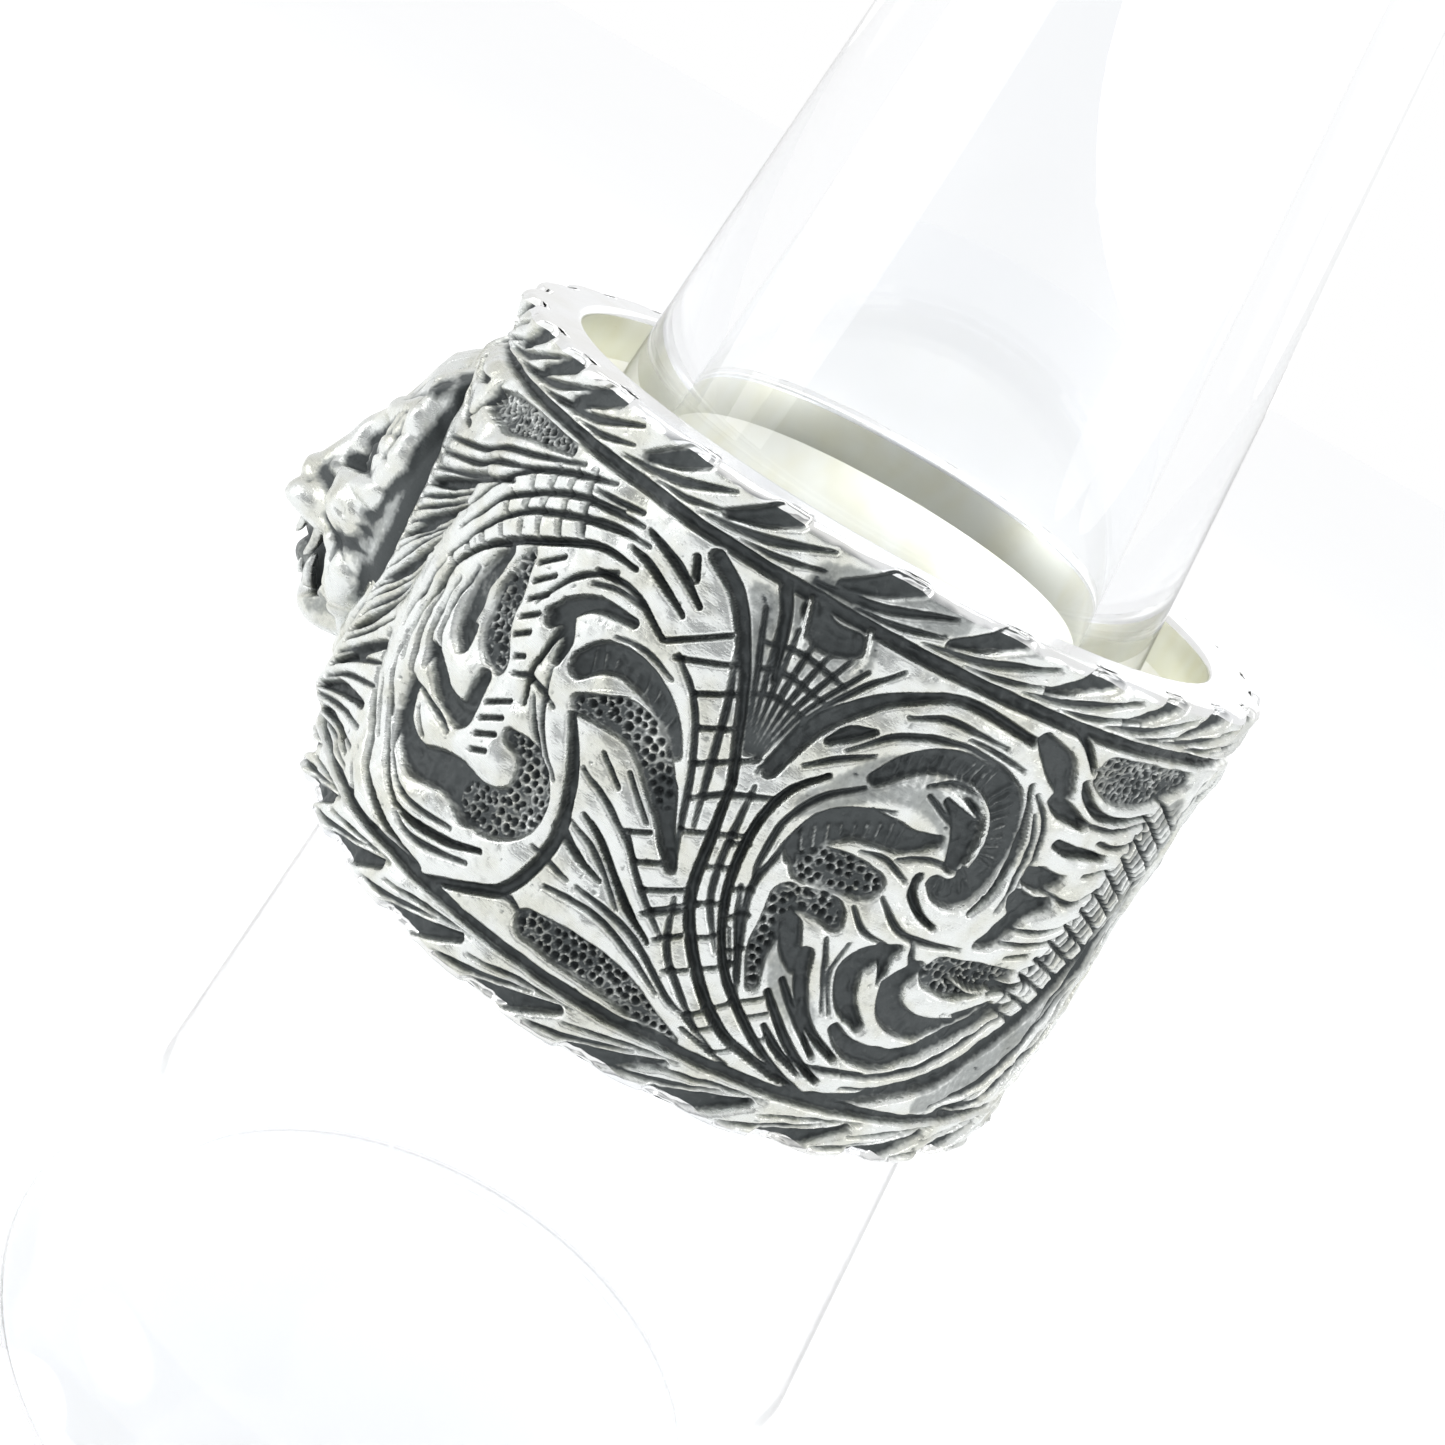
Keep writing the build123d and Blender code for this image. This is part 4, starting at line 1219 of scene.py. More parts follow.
@dataclass
class RingBand:
    """The band: a carved field in sectors and a leaf border along each rim.

    Attributes:
        outer_radius: Radius of the untouched outside.
        half_width: Half the band's width.
        middle: Height of the ring's middle.
        wall: Thickness from the bore to the untouched outside.
        relief: Depth of the carving.
        split: Height from the middle at which field and border meet, down in the groove.
        flare: How much further out the band is beside the head.
        flare_start: Azimuth at which the flare starts to rise towards the head.
        flare_full: Azimuth from which it is at its full height.
        rim_round: Round of the outer rim.
        bore_round: Round of the bore's edge.
    """

    outer_radius: float
    half_width: float
    middle: float
    wall: float = 1.75
    relief: float = 0.50
    split: float = BORDER_LINE
    flare: float = 0.42
    flare_start: float = 34.0
    flare_full: float = 21.0
    rim_round: float = 0.30
    bore_round: float = 0.20
    pieces: list = field(default_factory=list)

    def __post_init__(self) -> None:
        """Charts the carving."""
        self.bore = self.outer_radius - self.wall
        self.chart = Chart(self.outer_radius, self.half_width)
        self.chart.carve()

    def outside(self, azimuth: np.ndarray, height: np.ndarray) -> tuple[np.ndarray, np.ndarray]:
        """Radius, and oxide with painted shade, of the carved outside.

        The radius is the ground's plus the relief times what stands. It flares out towards the
        head. Near a rim it falls with the rim's round, and the carving fades towards the end
        face.

        Args:
            azimuth: Degrees round the band.
            height: Height from the ring's middle.

        Returns:
            The radius and the share of oxide and painted shade.
        """
        standing = self.chart.read(self.chart.standing, azimuth, height)
        oxide_and_shade = self.chart.read(self.chart.oxide_and_shade, azimuth, height)
        into_round = np.clip(np.abs(height) - self.half_width + self.rim_round, 0, self.rim_round)
        fall = self.rim_round - np.sqrt(np.maximum(self.rim_round**2 - into_round**2, 0))
        fade = 1 - 0.45 * smoothstep(0.5, 1.0, into_round / self.rim_round)
        in_field = smoothstep(self.split + 0.1, self.split - 0.7, np.abs(height))
        flare = self.flare * smoothstep(self.flare_start, self.flare_full, folded(azimuth))
        radius = self.outer_radius + flare * in_field - fall - self.relief * fade * (1 - standing)
        return radius, oxide_and_shade * fade

    def surface_normals(self, azimuth: np.ndarray, height: np.ndarray) -> np.ndarray:
        """Directions square to the outside, from its slopes a little way to either side.

        Args:
            azimuth: Degrees round the band.
            height: Height from the ring's middle.

        Returns:
            Unit directions.
        """
        turn, rise = 0.2, 0.04

        def place(az: np.ndarray, up: np.ndarray) -> np.ndarray:
            """Point of the outside."""
            return round_the_band(self.outside(az, up)[0], az, up, 0)

        across = place(azimuth + turn, height) - place(azimuth - turn, height)
        upward = place(azimuth, height + rise) - place(azimuth, height - rise)
        normal = np.cross(across, upward)
        return normal / np.linalg.norm(normal, axis=-1, keepdims=True)

    def field_sector(self, name: str, start: float, end: float, columns: int,
                     rows: int) -> bpy.types.Object:
        """One sector of the carved field, from the bore to the outside.

        Args:
            name: Name of the piece.
            start: Azimuth where it starts.
            end: Azimuth where it ends.
            columns: Points along the azimuth.
            rows: Points up the outside.

        Returns:
            The object.
        """
        azimuth = np.linspace(start, end, columns)[:, None]
        height = np.linspace(-self.split, self.split, rows)[None, :]
        radius, oxide_and_shade = self.outside(azimuth, height)
        inner_height = np.array([1.0, 0.0, -1.0])[None, :] * self.split
        inner = round_the_band(np.full((columns, 3), self.bore), azimuth, inner_height, self.middle)
        outer = round_the_band(radius, azimuth, height, self.middle)
        normals = self.surface_normals(azimuth, height)
        bore_weight = 0.04 * rows
        weights = np.concatenate([np.ones(rows - 1), [2, bore_weight, bore_weight, 2]])
        finish = np.full(rows + 3, Face.CARVED.value)
        finish[rows:rows + 2] = Face.BORE.value
        return SweptSolid(
            name,
            np.concatenate([outer, inner], 1),
            corners=(0, rows - 1, rows, rows + 2),
            weights=weights,
            oxide_and_shade=np.concatenate([oxide_and_shade, np.zeros((columns, 3))], 1),
            normals=np.concatenate([normals, np.zeros_like(inner)], 1),
            finish=finish,
        ).build()

    def border(self, name: str, side: int, columns: int, rows: int) -> bpy.types.Object:
        """A leaf border all round, with its rim and the edge of the bore.

        The section runs up the bore, round the bore's edge, out along the end face, and down
        over the rim's round and the leaves to the groove.

        Args:
            name: Name of the piece.
            side: 1 for the upper border and -1 for the lower.
            columns: Points round the band.
            rows: Points down the leaves.

        Returns:
            The object.
        """
        edge_points, face_points, rim_points = 5, 7, 7
        azimuth = np.linspace(0, 360, columns, endpoint=False)[:, None]
        turns = np.linspace(0, pi / 2, edge_points)
        edge_r = self.bore + self.bore_round * (1 - np.cos(turns))
        edge_z = self.half_width - self.bore_round * (1 - np.sin(turns))
        face_ends = self.bore + self.bore_round, self.outer_radius - self.rim_round
        face_r = np.linspace(*face_ends, face_points)[1:-1]
        rim_turns = np.linspace(pi / 2, 0, rim_points)
        rim_z = self.half_width - self.rim_round * (1 - np.sin(rim_turns))
        down = np.concatenate([rim_z[:-1], np.linspace(rim_z[-1], self.split, rows)])[None, :]
        radius, oxide_and_shade = self.outside(azimuth, side * down)
        inner_r = np.concatenate([[self.bore], edge_r, face_r])[None, :]
        face_z = np.full(len(face_r), self.half_width)
        inner_z = np.concatenate([[self.split], edge_z, face_z])[None, :]
        inner = round_the_band(inner_r + 0 * azimuth, azimuth, side * inner_z, self.middle)
        outer = round_the_band(radius, azimuth, side * down, self.middle)
        count = inner.shape[1]
        finish = np.full(count + down.shape[1], Face.CARVED.value)
        finish[0] = Face.BORE.value
        finish[1:count + rim_points - 2] = Face.RIM.value
        weights = np.ones(len(finish))
        weights[:count] = 2
        weights[0] = 0.1 * rows
        return SweptSolid(
            name,
            np.concatenate([inner, outer], 1),
            ring=True,
            corners=(0, len(finish) - 1),
            weights=weights,
            oxide_and_shade=np.concatenate([np.zeros(inner.shape[:2]), oxide_and_shade], 1),
            finish=finish,
        ).build()

    def build(self) -> list[bpy.types.Object]:
        """Builds the sectors of the field and both borders."""
        self.pieces = [
            self.field_sector("ring_field_front", 0, 90, 396, 246),
            self.field_sector("ring_field_back", 90, 180, 396, 246),
            self.field_sector("ring_field_left", 180, 360, 520, 182),
            self.border("ring_border_upper", 1, 1180, 32),
            self.border("ring_border_lower", -1, 1180, 32),
        ]
        return self.pieces

    def dress(self) -> None:
        """Gives the carved outside, the rims and the bore their finishes."""
        finishes = OxidisedSilver().material(), POLISHED_RIM.material(), SATIN_BORE.material()
        for piece in self.pieces:
            for finish in finishes:
                piece.data.materials.append(finish)
            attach(piece, "root")
            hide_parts("ring")


@dataclass(frozen=True)
class Lump:
    """An ellipsoid of the head, in the head's own places: sideways, out from the axis and up."""

    centre: Point
    radii: Point
    blend: float = 0.25

    def beyond(self, p: np.ndarray) -> np.ndarray:
        """Distance beyond it: the scaled length, times itself less one, over its slope."""
        offset = p - np.array(self.centre)
        scaled = np.linalg.norm(offset / self.radii, axis=-1)
        slope = np.linalg.norm(offset / np.square(self.radii), axis=-1)
        return scaled * (scaled - 1) / np.maximum(slope, 1e-6)


@dataclass(frozen=True)
class Lock:
    """A tapered rod of the head with round ends."""

    start: Point
    end: Point
    start_radius: float
    end_radius: float
    blend: float = 0.18

    def beyond(self, p: np.ndarray) -> np.ndarray:
        """Distance from its middle line less its radius at the nearest point."""
        start, way = np.array(self.start), np.array(self.end) - np.array(self.start)
        share = np.clip((p - start) @ way / (way @ way), 0, 1)
        apart = np.linalg.norm(p - start - share[..., None] * way, axis=-1)
        return apart - self.start_radius - share * (self.end_radius - self.start_radius)


def blended_least(a: np.ndarray, b: np.ndarray, reach: float) -> np.ndarray:
    """The lesser of two distances, rounded where they are within a reach of each other."""
    mix = np.maximum(reach - np.abs(a - b), 0) / reach
    return np.minimum(a, b) - mix * mix * reach / 4


def blended_most(a: np.ndarray, b: np.ndarray, reach: float) -> np.ndarray:
    """The greater of two distances, rounded in the same way."""
    return -blended_least(-a, -b, reach)


# Forms of the head that are joined. Those off its middle stand for both sides, because the places
# that they are asked about have the size of the sideways distance alone.
HEAD_FORMS = (
    Lump((0, 10.9, 0.6), (4.35, 2.55, 4.4)),
    Lock((0, 12.0, 3.7), (0, 13.7, 0.8), 0.85, 0.84, 0.6),
    Lock((0, 13.7, 0.8), (0, 14.75, -0.9), 0.82, 0.74, 0.3),
    Lump((0, 15.12, -0.8), (0.86, 0.5, 0.42), 0.14),
    Lump((0, 13.5, -1.2), (2.0, 1.7, 1.0), 0.5),
    Lump((0.86, 14.5, -1.55), (0.94, 1.02, 0.78), 0.14),
    Lump((2.2, 12.75, -0.55), (1.35, 1.2, 0.95), 0.4),
    Lump((2.75, 12.15, 1.5), (0.9, 1.0, 1.5), 0.3),
    Lump((2.45, 12.15, -2.2), (0.85, 0.85, 1.35), 0.3),
    Lock((0.55, 13.75, 1.6), (1.7, 13.2, 2.3), 0.32, 0.36, 0.3),
    Lock((1.7, 13.2, 2.3), (3.2, 12.4, 2.8), 0.36, 0.3, 0.3),
    Lump((0, 11.9, 2.8), (2.9, 1.25, 2.1), 0.7),
    Lock((1.3, 12.25, 3.6), (2.6, 11.95, 3.4), 0.45, 0.45, 0.7),
    Lock((0.95, 14.35, -0.2), (2.2, 13.55, -0.05), 0.26, 0.32, 0.3),
    Lock((2.2, 13.55, -0.05), (3.3, 12.75, 0.3), 0.32, 0.3, 0.3),
    Lock((3.5, 11.85, 3.9), (3.6, 12.1, 2.9), 0.34, 0.42, 0.22),
    Lock((3.6, 12.1, 2.9), (3.65, 12.05, 1.6), 0.42, 0.46, 0.2),
    Lock((3.65, 12.05, 1.6), (3.4, 12.35, 0.4), 0.46, 0.44, 0.2),
    Lock((3.4, 12.35, 0.4), (2.5, 13.1, -0.55), 0.44, 0.32, 0.3),
    Lock((3.35, 12.0, 0.0), (3.2, 11.95, -1.0), 0.26, 0.3, 0.2),
    Lock((3.2, 11.95, -1.0), (2.9, 12.15, -2.3), 0.3, 0.3, 0.2),
    Lock((2.9, 12.15, -2.3), (2.3, 12.35, -3.5), 0.3, 0.26, 0.25),
    Lump((0, 12.8, -4.25), (1.55, 1.3, 0.78), 0.35),
    Lock((0, 14.0, -4.02), (0.95, 13.65, -3.98), 0.34, 0.3, 0.2),
    Lock((0.95, 13.65, -3.98), (1.7, 12.9, -3.6), 0.3, 0.3, 0.2),
    Lock((0.7, 15.0, -2.0), (1.5, 14.15, -1.78), 0.24, 0.22, 0.2),
    Lock((1.5, 14.15, -1.78), (2.35, 13.2, -1.75), 0.22, 0.24, 0.2),
    Lock((2.35, 13.2, -1.75), (2.3, 12.75, -2.9), 0.24, 0.24, 0.2),
    Lock((2.3, 12.75, -2.9), (1.7, 12.9, -3.6), 0.24, 0.3, 0.2),
    Lock((2.0, 12.0, -3.7), (2.0, 11.7, -4.7), 0.32, 0.12, 0.2),
    Lock((1.1, 12.1, -4.3), (1.1, 11.7, -5.1), 0.32, 0.12, 0.2),
    Lock((1.5, 12.0, 4.0), (1.7, 11.75, 5.1), 0.34, 0.12, 0.4),
    Lock((0.55, 12.05, 4.2), (0.6, 11.75, 5.2), 0.34, 0.12, 0.4),
)

# Parts of the head that are joined or taken out in an order of their own
EAR = Lump((3.2, 11.9, 4.3), (0.88, 0.66, 1.0), 0.14)
EAR_HOLLOW = Lump((3.55, 12.5, 4.3), (0.44, 0.5, 0.62), 0.08)
TONGUE = Lump((0, 13.5, -3.2), (0.74, 1.25, 0.72), 0.08)
PALATE = Lump((0, 14.0, -2.3), (0.85, 0.78, 0.5), 0.1)
EYELIDS = Lump((1.8, 12.85, 0.9), (0.8, 0.72, 0.58), 0.14)
EYE_OPENING = Lump((1.92, 13.82, 0.88), (0.62, 0.72, 0.3), 0.05)
EYE = Lump((1.82, 12.9, 0.88), (0.56, 0.58, 0.47), 0.02)
PUPIL = Lump((1.9, 13.5, 0.88), (0.15, 0.12, 0.21), 0.03)

# Hollows taken out of it: mouth, eye sockets, nostrils, lip groove and folds
HEAD_HOLLOWS = (
    Lump((0, 14.3, -3.02), (2.55, 1.95, 0.95), 0.14),
    Lump((2.0, 14.05, 1.05), (1.35, 1.12, 0.8), 0.2),
    Lock((1.15, 15.0, -0.35), (1.75, 14.1, 0.65), 0.12, 0.22, 0.1),
    Lump((0.42, 15.6, -0.98), (0.26, 0.26, 0.17), 0.04),
    Lock((0, 15.75, -1.35), (0, 15.45, -2.4), 0.1, 0.12, 0.06),
    Lock((1.0, 15.3, -0.55), (1.25, 14.9, -0.95), 0.12, 0.1, 0.08),
    Lock((0.95, 14.95, 0.05), (2.3, 14.2, 0.1), 0.09, 0.12, 0.1),
    Lock((0.42, 14.15, 1.9), (0.48, 13.2, 3.5), 0.07, 0.1, 0.1),
    Lock((3.1, 13.2, 1.4), (3.15, 12.9, 3.0), 0.2, 0.14, 0.14),
    Lock((3.3, 13.1, -0.5), (2.75, 13.0, -2.2), 0.16, 0.14, 0.1),
)

# Places that are made darker, and how much: oxide in the mouth, eye sockets, nose and ear, and the lower
# jaw's side made darker
DARK_PLACES = (
    (Lump((0, 13.9, -3.05), (2.3, 2.0, 1.05)), 0.95),
    (Lump((2.1, 13.7, 1.1), (1.35, 1.05, 0.85)), 0.9),
    (Lock((1.25, 14.9, -0.25), (2.1, 13.6, 1.4), 0.45, 0.7), 0.9),
    (Lump((3.7, 12.3, 4.2), (0.5, 0.6, 0.75)), 0.9),
    (Lump((1.9, 13.3, -3.95), (0.75, 1.1, 0.75)), 0.6),
    (Lump((0.42, 15.5, -1.0), (0.28, 0.34, 0.2)), 0.9),
    (Lock((0, 15.65, -1.3), (0, 15.3, -2.3), 0.12, 0.12), 0.8),
)


@dataclass(frozen=True)
class Tooth:
    """A pointed tooth, from inside the gum to its tip.

    Attributes:
        root: Where it starts, sideways, out and up.
        tip: Its point.
        radius: Radius at the root.
    """

    root: Point
    tip: Point
    radius: float

    def rings(self, mirror: int, around: int, along: int) -> np.ndarray:
        """Circles carried from root to tip, with a slight curl.

        A circle's radius is the root's times the square root of what is left of one when the
        share of the way is taken off it.

        Args:
            mirror: 1 for this side of the head and -1 for the other.
            around: Points round a circle.
            along: Circles.

        Returns:
            Their points.
        """
        root, tip = np.array(self.root) * (mirror, 1, 1), np.array(self.tip) * (mirror, 1, 1)
        way = tip - root
        side = np.cross(way, (1.0, 0.0, 0.0))
        side /= np.linalg.norm(side)
        other = np.cross(way, side)
        other /= np.linalg.norm(other)
        share = np.linspace(0, 1, along)[:, None, None]
        turn = np.linspace(0, 2 * pi, around, endpoint=False)[None, :, None]
        curl = 0.10 * np.sin(share * pi) * side * np.linalg.norm(way)
        width = self.radius * (0.04 + 0.96 * np.sqrt(1 - share**1.6))
        return root + way * share + curl + width * (np.cos(turn) * side + np.sin(turn) * other)


TEETH = (
    Tooth(root=(1.0, 14.1, -1.9), tip=(0.92, 14.2, -3.1), radius=0.22),
    Tooth(root=(0.86, 13.65, -3.85), tip=(0.84, 13.9, -2.85), radius=0.22),
    Tooth(root=(0.52, 14.78, -2.1), tip=(0.5, 14.82, -2.72), radius=0.14),
    Tooth(root=(0.19, 14.9, -2.1), tip=(0.18, 14.94, -2.72), radius=0.14),
    Tooth(root=(0.44, 14.15, -3.75), tip=(0.43, 14.32, -3.28), radius=0.13),
    Tooth(root=(0.16, 14.22, -3.75), tip=(0.15, 14.4, -3.28), radius=0.13),
)


@dataclass
class CatHead:
    """The cat's head: one surface seen from a point behind it, and its fangs.

    Attributes:
        middle: Height of the ring's middle.
        eye_point: Point that the surface is seen from, sideways, out and up.
        base_radius: Radius of the cylinder inside the band's wall where the surface ends.
        reach: Half extents of the window on the base plane, sideways and up.
        front: Distance from the point at which a place starts to slide inwards.
        cells: Points along each side of the grid.
        stride: Share of its distance from the metal that a place slides at a time.
        slides: How many times it slides at most.
        halvings: How many times its last step is halved.
    """

    middle: float
    eye_point: Point = (0.0, 7.5, -2.4)
    base_radius: float = 11.15
    reach: tuple[float, float] = (5.4, 5.75)
    front: float = 8.6
    cells: int = 249
    stride: float = 0.6
    slides: int = 160
    halvings: int = 5
    pieces: list = field(default_factory=list)

    def beyond(self, p: np.ndarray) -> np.ndarray:
        """Distance beyond the metal.

        Forms are joined, hollows are taken out, and tongue, palate and eyes are put back.

        Args:
            p: Places, sideways (its size alone), out and up.

        Returns:
            The distance, below zero in the metal.
        """
        metal = HEAD_FORMS[0].beyond(p)
        for form in HEAD_FORMS[1:]:
            metal = blended_least(metal, form.beyond(p), form.blend)
        metal = blended_least(metal, EAR.beyond(p), EAR.blend)
        for hollow in (*HEAD_HOLLOWS, EAR_HOLLOW):
            metal = blended_most(metal, -hollow.beyond(p), hollow.blend)
        metal = blended_least(metal, EYELIDS.beyond(p), EYELIDS.blend)
        metal = blended_most(metal, -EYE_OPENING.beyond(p), EYE_OPENING.blend)
        for form in (TONGUE, PALATE, EYE):
            metal = blended_least(metal, form.beyond(p), form.blend)
        metal = blended_most(metal, -PUPIL.beyond(p), PUPIL.blend)
        axis = np.hypot(p[..., 0], p[..., 1]) - self.base_radius
        return np.minimum(metal, axis)

    def surface(self) -> np.ndarray:
        """Points of the head on its grid.

        From a point inside the head a ray goes through each place of a window, which is denser
        at its middle. A place slides inwards along its ray from outside by most of its distance
        from the metal until it is in it, and its last step is then halved.

        Returns:
            Places, sideways, out and up.
        """
        half = self.cells // 2
        even = np.linspace(-1, 1, 2 * half + 1)
        window = even * (0.62 + 0.38 * even**2)
        side, up = np.meshgrid(window[half:] * self.reach[0], window * self.reach[1], indexing="ij")
        start = np.array(self.eye_point)
        way = np.stack([side, np.full_like(side, self.base_radius - 0.4), up], -1) - start
        way = (way / np.linalg.norm(way, axis=-1, keepdims=True)).reshape(-1, 3)
        distance = np.full(len(way), self.front)
        last = np.full(len(way), 0.02)
        sliding = np.arange(len(way))
        for _ in range(self.slides):
            apart = self.beyond(start + way[sliding] * distance[sliding, None])
            outside = apart > 0
            sliding = sliding[outside]
            if len(sliding) == 0:
                break
            last[sliding] = np.clip(self.stride * apart[outside], 0.02, 0.5)
            distance[sliding] -= last[sliding]
        low, high = distance, distance + last
        for _ in range(self.halvings):
            middle = (high + low) / 2
            inside = self.beyond(start + way * middle[:, None]) < 0
            low = np.where(inside, middle, low)
            high = np.where(inside, high, middle)
        right = (start + way * ((low + high) / 2)[:, None]).reshape(half + 1, -1, 3)
        return np.concatenate([right[:0:-1] * (-1, 1, 1), right])

    def groom(self, places: np.ndarray) -> np.ndarray:
        """Fur lines cut into the head, fanning back from its nose, and dots on its lips.

        A line follows a constant angle round the nose bridge, shaken by slow noise, and lies
        only away from the eyes, the nose and the mouth.

        Args:
            places: Points of the head.

        Returns:
            Depth of the cut at each point, in millimetres.
        """
        side, out, up = np.abs(places[..., 0]), places[..., 1], places[..., 2]
        draw = np.random.default_rng(SEED + 5)
        shake = rolling_noise(side.shape, 6, draw)
        angle = np.arctan2(up - 0.3, side + 0.25)
        strands = np.abs(np.sin(18 * angle + 0.28 * shake + 0.3 * np.hypot(side, up)))
        away = smoothstep(2.4, 3.4, np.hypot(side, up - 0.4)) * smoothstep(13.9, 13.0, out)
        away = away * smoothstep(11.7, 12.2, out)
        cut = 0.09 * away * (1 - strands) ** 2.5
        for row, count in ((-1.45, 3), (-1.75, 4), (-2.05, 3)):
            for spot in np.linspace(0.55, 1.35, count):
                apart = np.hypot(side - spot, up - row)
                cut += 0.05 * np.exp(-(apart / 0.06) ** 2) * smoothstep(14.0, 14.6, out)
        return cut + 0.008 * shake

    def build(self) -> list[bpy.types.Object]:
        """Builds the head and its teeth."""
        self.pieces = [self.build_head(), self.build_fangs()]
        return self.pieces

    def build_head(self) -> bpy.types.Object:
        """The head's surface, closed behind by faces inside the band's wall."""
        start = np.array(self.eye_point)
        places = self.surface()
        depth = np.linalg.norm(places - start, axis=-1)
        way = (places - start) / depth[..., None]
        jump = smoothstep(0.03, 0.12, np.abs(depth - soften(depth, 1)))
        jump = np.minimum(1.0, 2.0 * soften(jump, 1))
        depth = (1 - jump) * depth + jump * soften(depth, 2)
        depth = depth - self.groom(start + way * depth[..., None])
        places = start + way * depth[..., None]
        sunk = soften(depth, 8) - depth
        fine = soften(depth, 3) - depth
        oxide_and_shade = CLEAN_OXIDE + 2.6 * np.clip(sunk - 0.02, -0.08, 0.6)
        oxide_and_shade += 6.0 * np.clip(fine - 0.005, -0.04, 0.2)
        mirrored = np.abs(places) * (1, 1, 0) + places * (0, 0, 1)
        for form, share in DARK_PLACES:
            oxide_and_shade += share * smoothstep(0.08, -0.22, form.beyond(mirrored))
        oxide_and_shade = np.minimum(oxide_and_shade, 1) - 0.92 * smoothstep(0.05, -0.02, EYE.beyond(mirrored))
        oxide_and_shade += 0.9 * smoothstep(0.10, 0.0, PUPIL.beyond(mirrored))
        # Painted shade: the head is made darker where it meets the band, and on its sides next to the band
        # in the groove behind the ruff, where shade falls.
        radius = np.hypot(places[..., 0], places[..., 1])
        oxide_and_shade += 0.7 * smoothstep(12.2, 11.6, radius)
        shaded_flank = smoothstep(2.7, 3.3, mirrored[..., 0])
        oxide_and_shade += shaded_flank * (0.42 * smoothstep(12.85, 12.6, radius) + 0.8 * smoothstep(12.40, 12.1, radius))
        return self.closed_window("cat_head", places, np.clip(oxide_and_shade, 0, 1))

    def in_frame(self, places: np.ndarray) -> np.ndarray:
        """Places of the head, sideways, out and up, as points in the object's frame."""
        return np.stack([places[:, 0], -places[:, 1], places[:, 2] + self.middle], -1)

    def closed_window(self, name: str, places: np.ndarray, oxide_and_shade: np.ndarray) -> bpy.types.Object:
        """A grid closed by a fan from its border to one point behind it.

        Args:
            name: Name of the piece.
            places: Grid of points, sideways, out and up.
            oxide_and_shade: Share of oxide and painted shade at each point.

        Returns:
            The object.
        """
        rows, columns = places.shape[:2]
        grid = np.arange(rows * columns).reshape(rows, columns)
        quads = np.stack([grid[:-1, :-1], grid[1:, :-1], grid[1:, 1:], grid[:-1, 1:]], -1).reshape(-1, 4)
        border = np.concatenate([grid[0, :-1], grid[:-1, -1], grid[-1, :0:-1], grid[:0:-1, 0]])
        behind = rows * columns
        fan = [[int(b), int(a), behind] for a, b in zip(border, np.roll(border, -1))]
        flat = np.concatenate([places.reshape(-1, 3), [[0.0, 10.75, 0.0]]])
        mesh = smooth_mesh(name, self.in_frame(flat), quads.tolist() + fan)
        keep_oxide_and_shade(mesh, np.append(oxide_and_shade, 1.0))
        across, up = np.linspace(0.001, 0.999, rows), np.linspace(0.03, 0.999, columns)
        spots = np.stack(np.meshgrid(across, up, indexing="ij"), -1).reshape(-1, 2)
        fan_spots = [(0.01 + 0.9 * k / len(fan), 0.015 if c == 2 else 0.005)
                     for k in range(len(fan)) for c in range(3)]
        on_map = np.concatenate([spots[quads.ravel()], fan_spots]).astype(np.float32)
        mesh.uv_layers.new(name=BAKE_MAP).data.foreach_set("uv", on_map.ravel())
        return show(mesh)

    def build_fangs(self) -> bpy.types.Object:
        """Two upper and two lower fangs with small teeth between them, as one piece."""
        around, along = 14, 12
        points, faces = [], []
        for mirror in (-1, 1):
            for tooth in TEETH:
                first = len(points) * around * along
                grid = first + np.arange(along * around).reshape(along, around)
                faces += between_rings(grid).tolist() + [grid[0].tolist(), grid[-1, ::-1].tolist()]
                points.append(tooth.rings(mirror, around, along).reshape(-1, 3))
        mesh = smooth_mesh("cat_fangs", self.in_frame(np.concatenate(points)), faces)
        keep_oxide_and_shade(mesh, np.full(len(mesh.vertices), CLEAN_OXIDE))
        turn_outwards(mesh)
        return show(mesh)

    def dress(self) -> None:
        """Gives the head its finish."""
        finish = OxidisedSilver().material()
        for piece in self.pieces:
            piece.data.materials.append(finish)
            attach(piece, "root")
            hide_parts("ring")


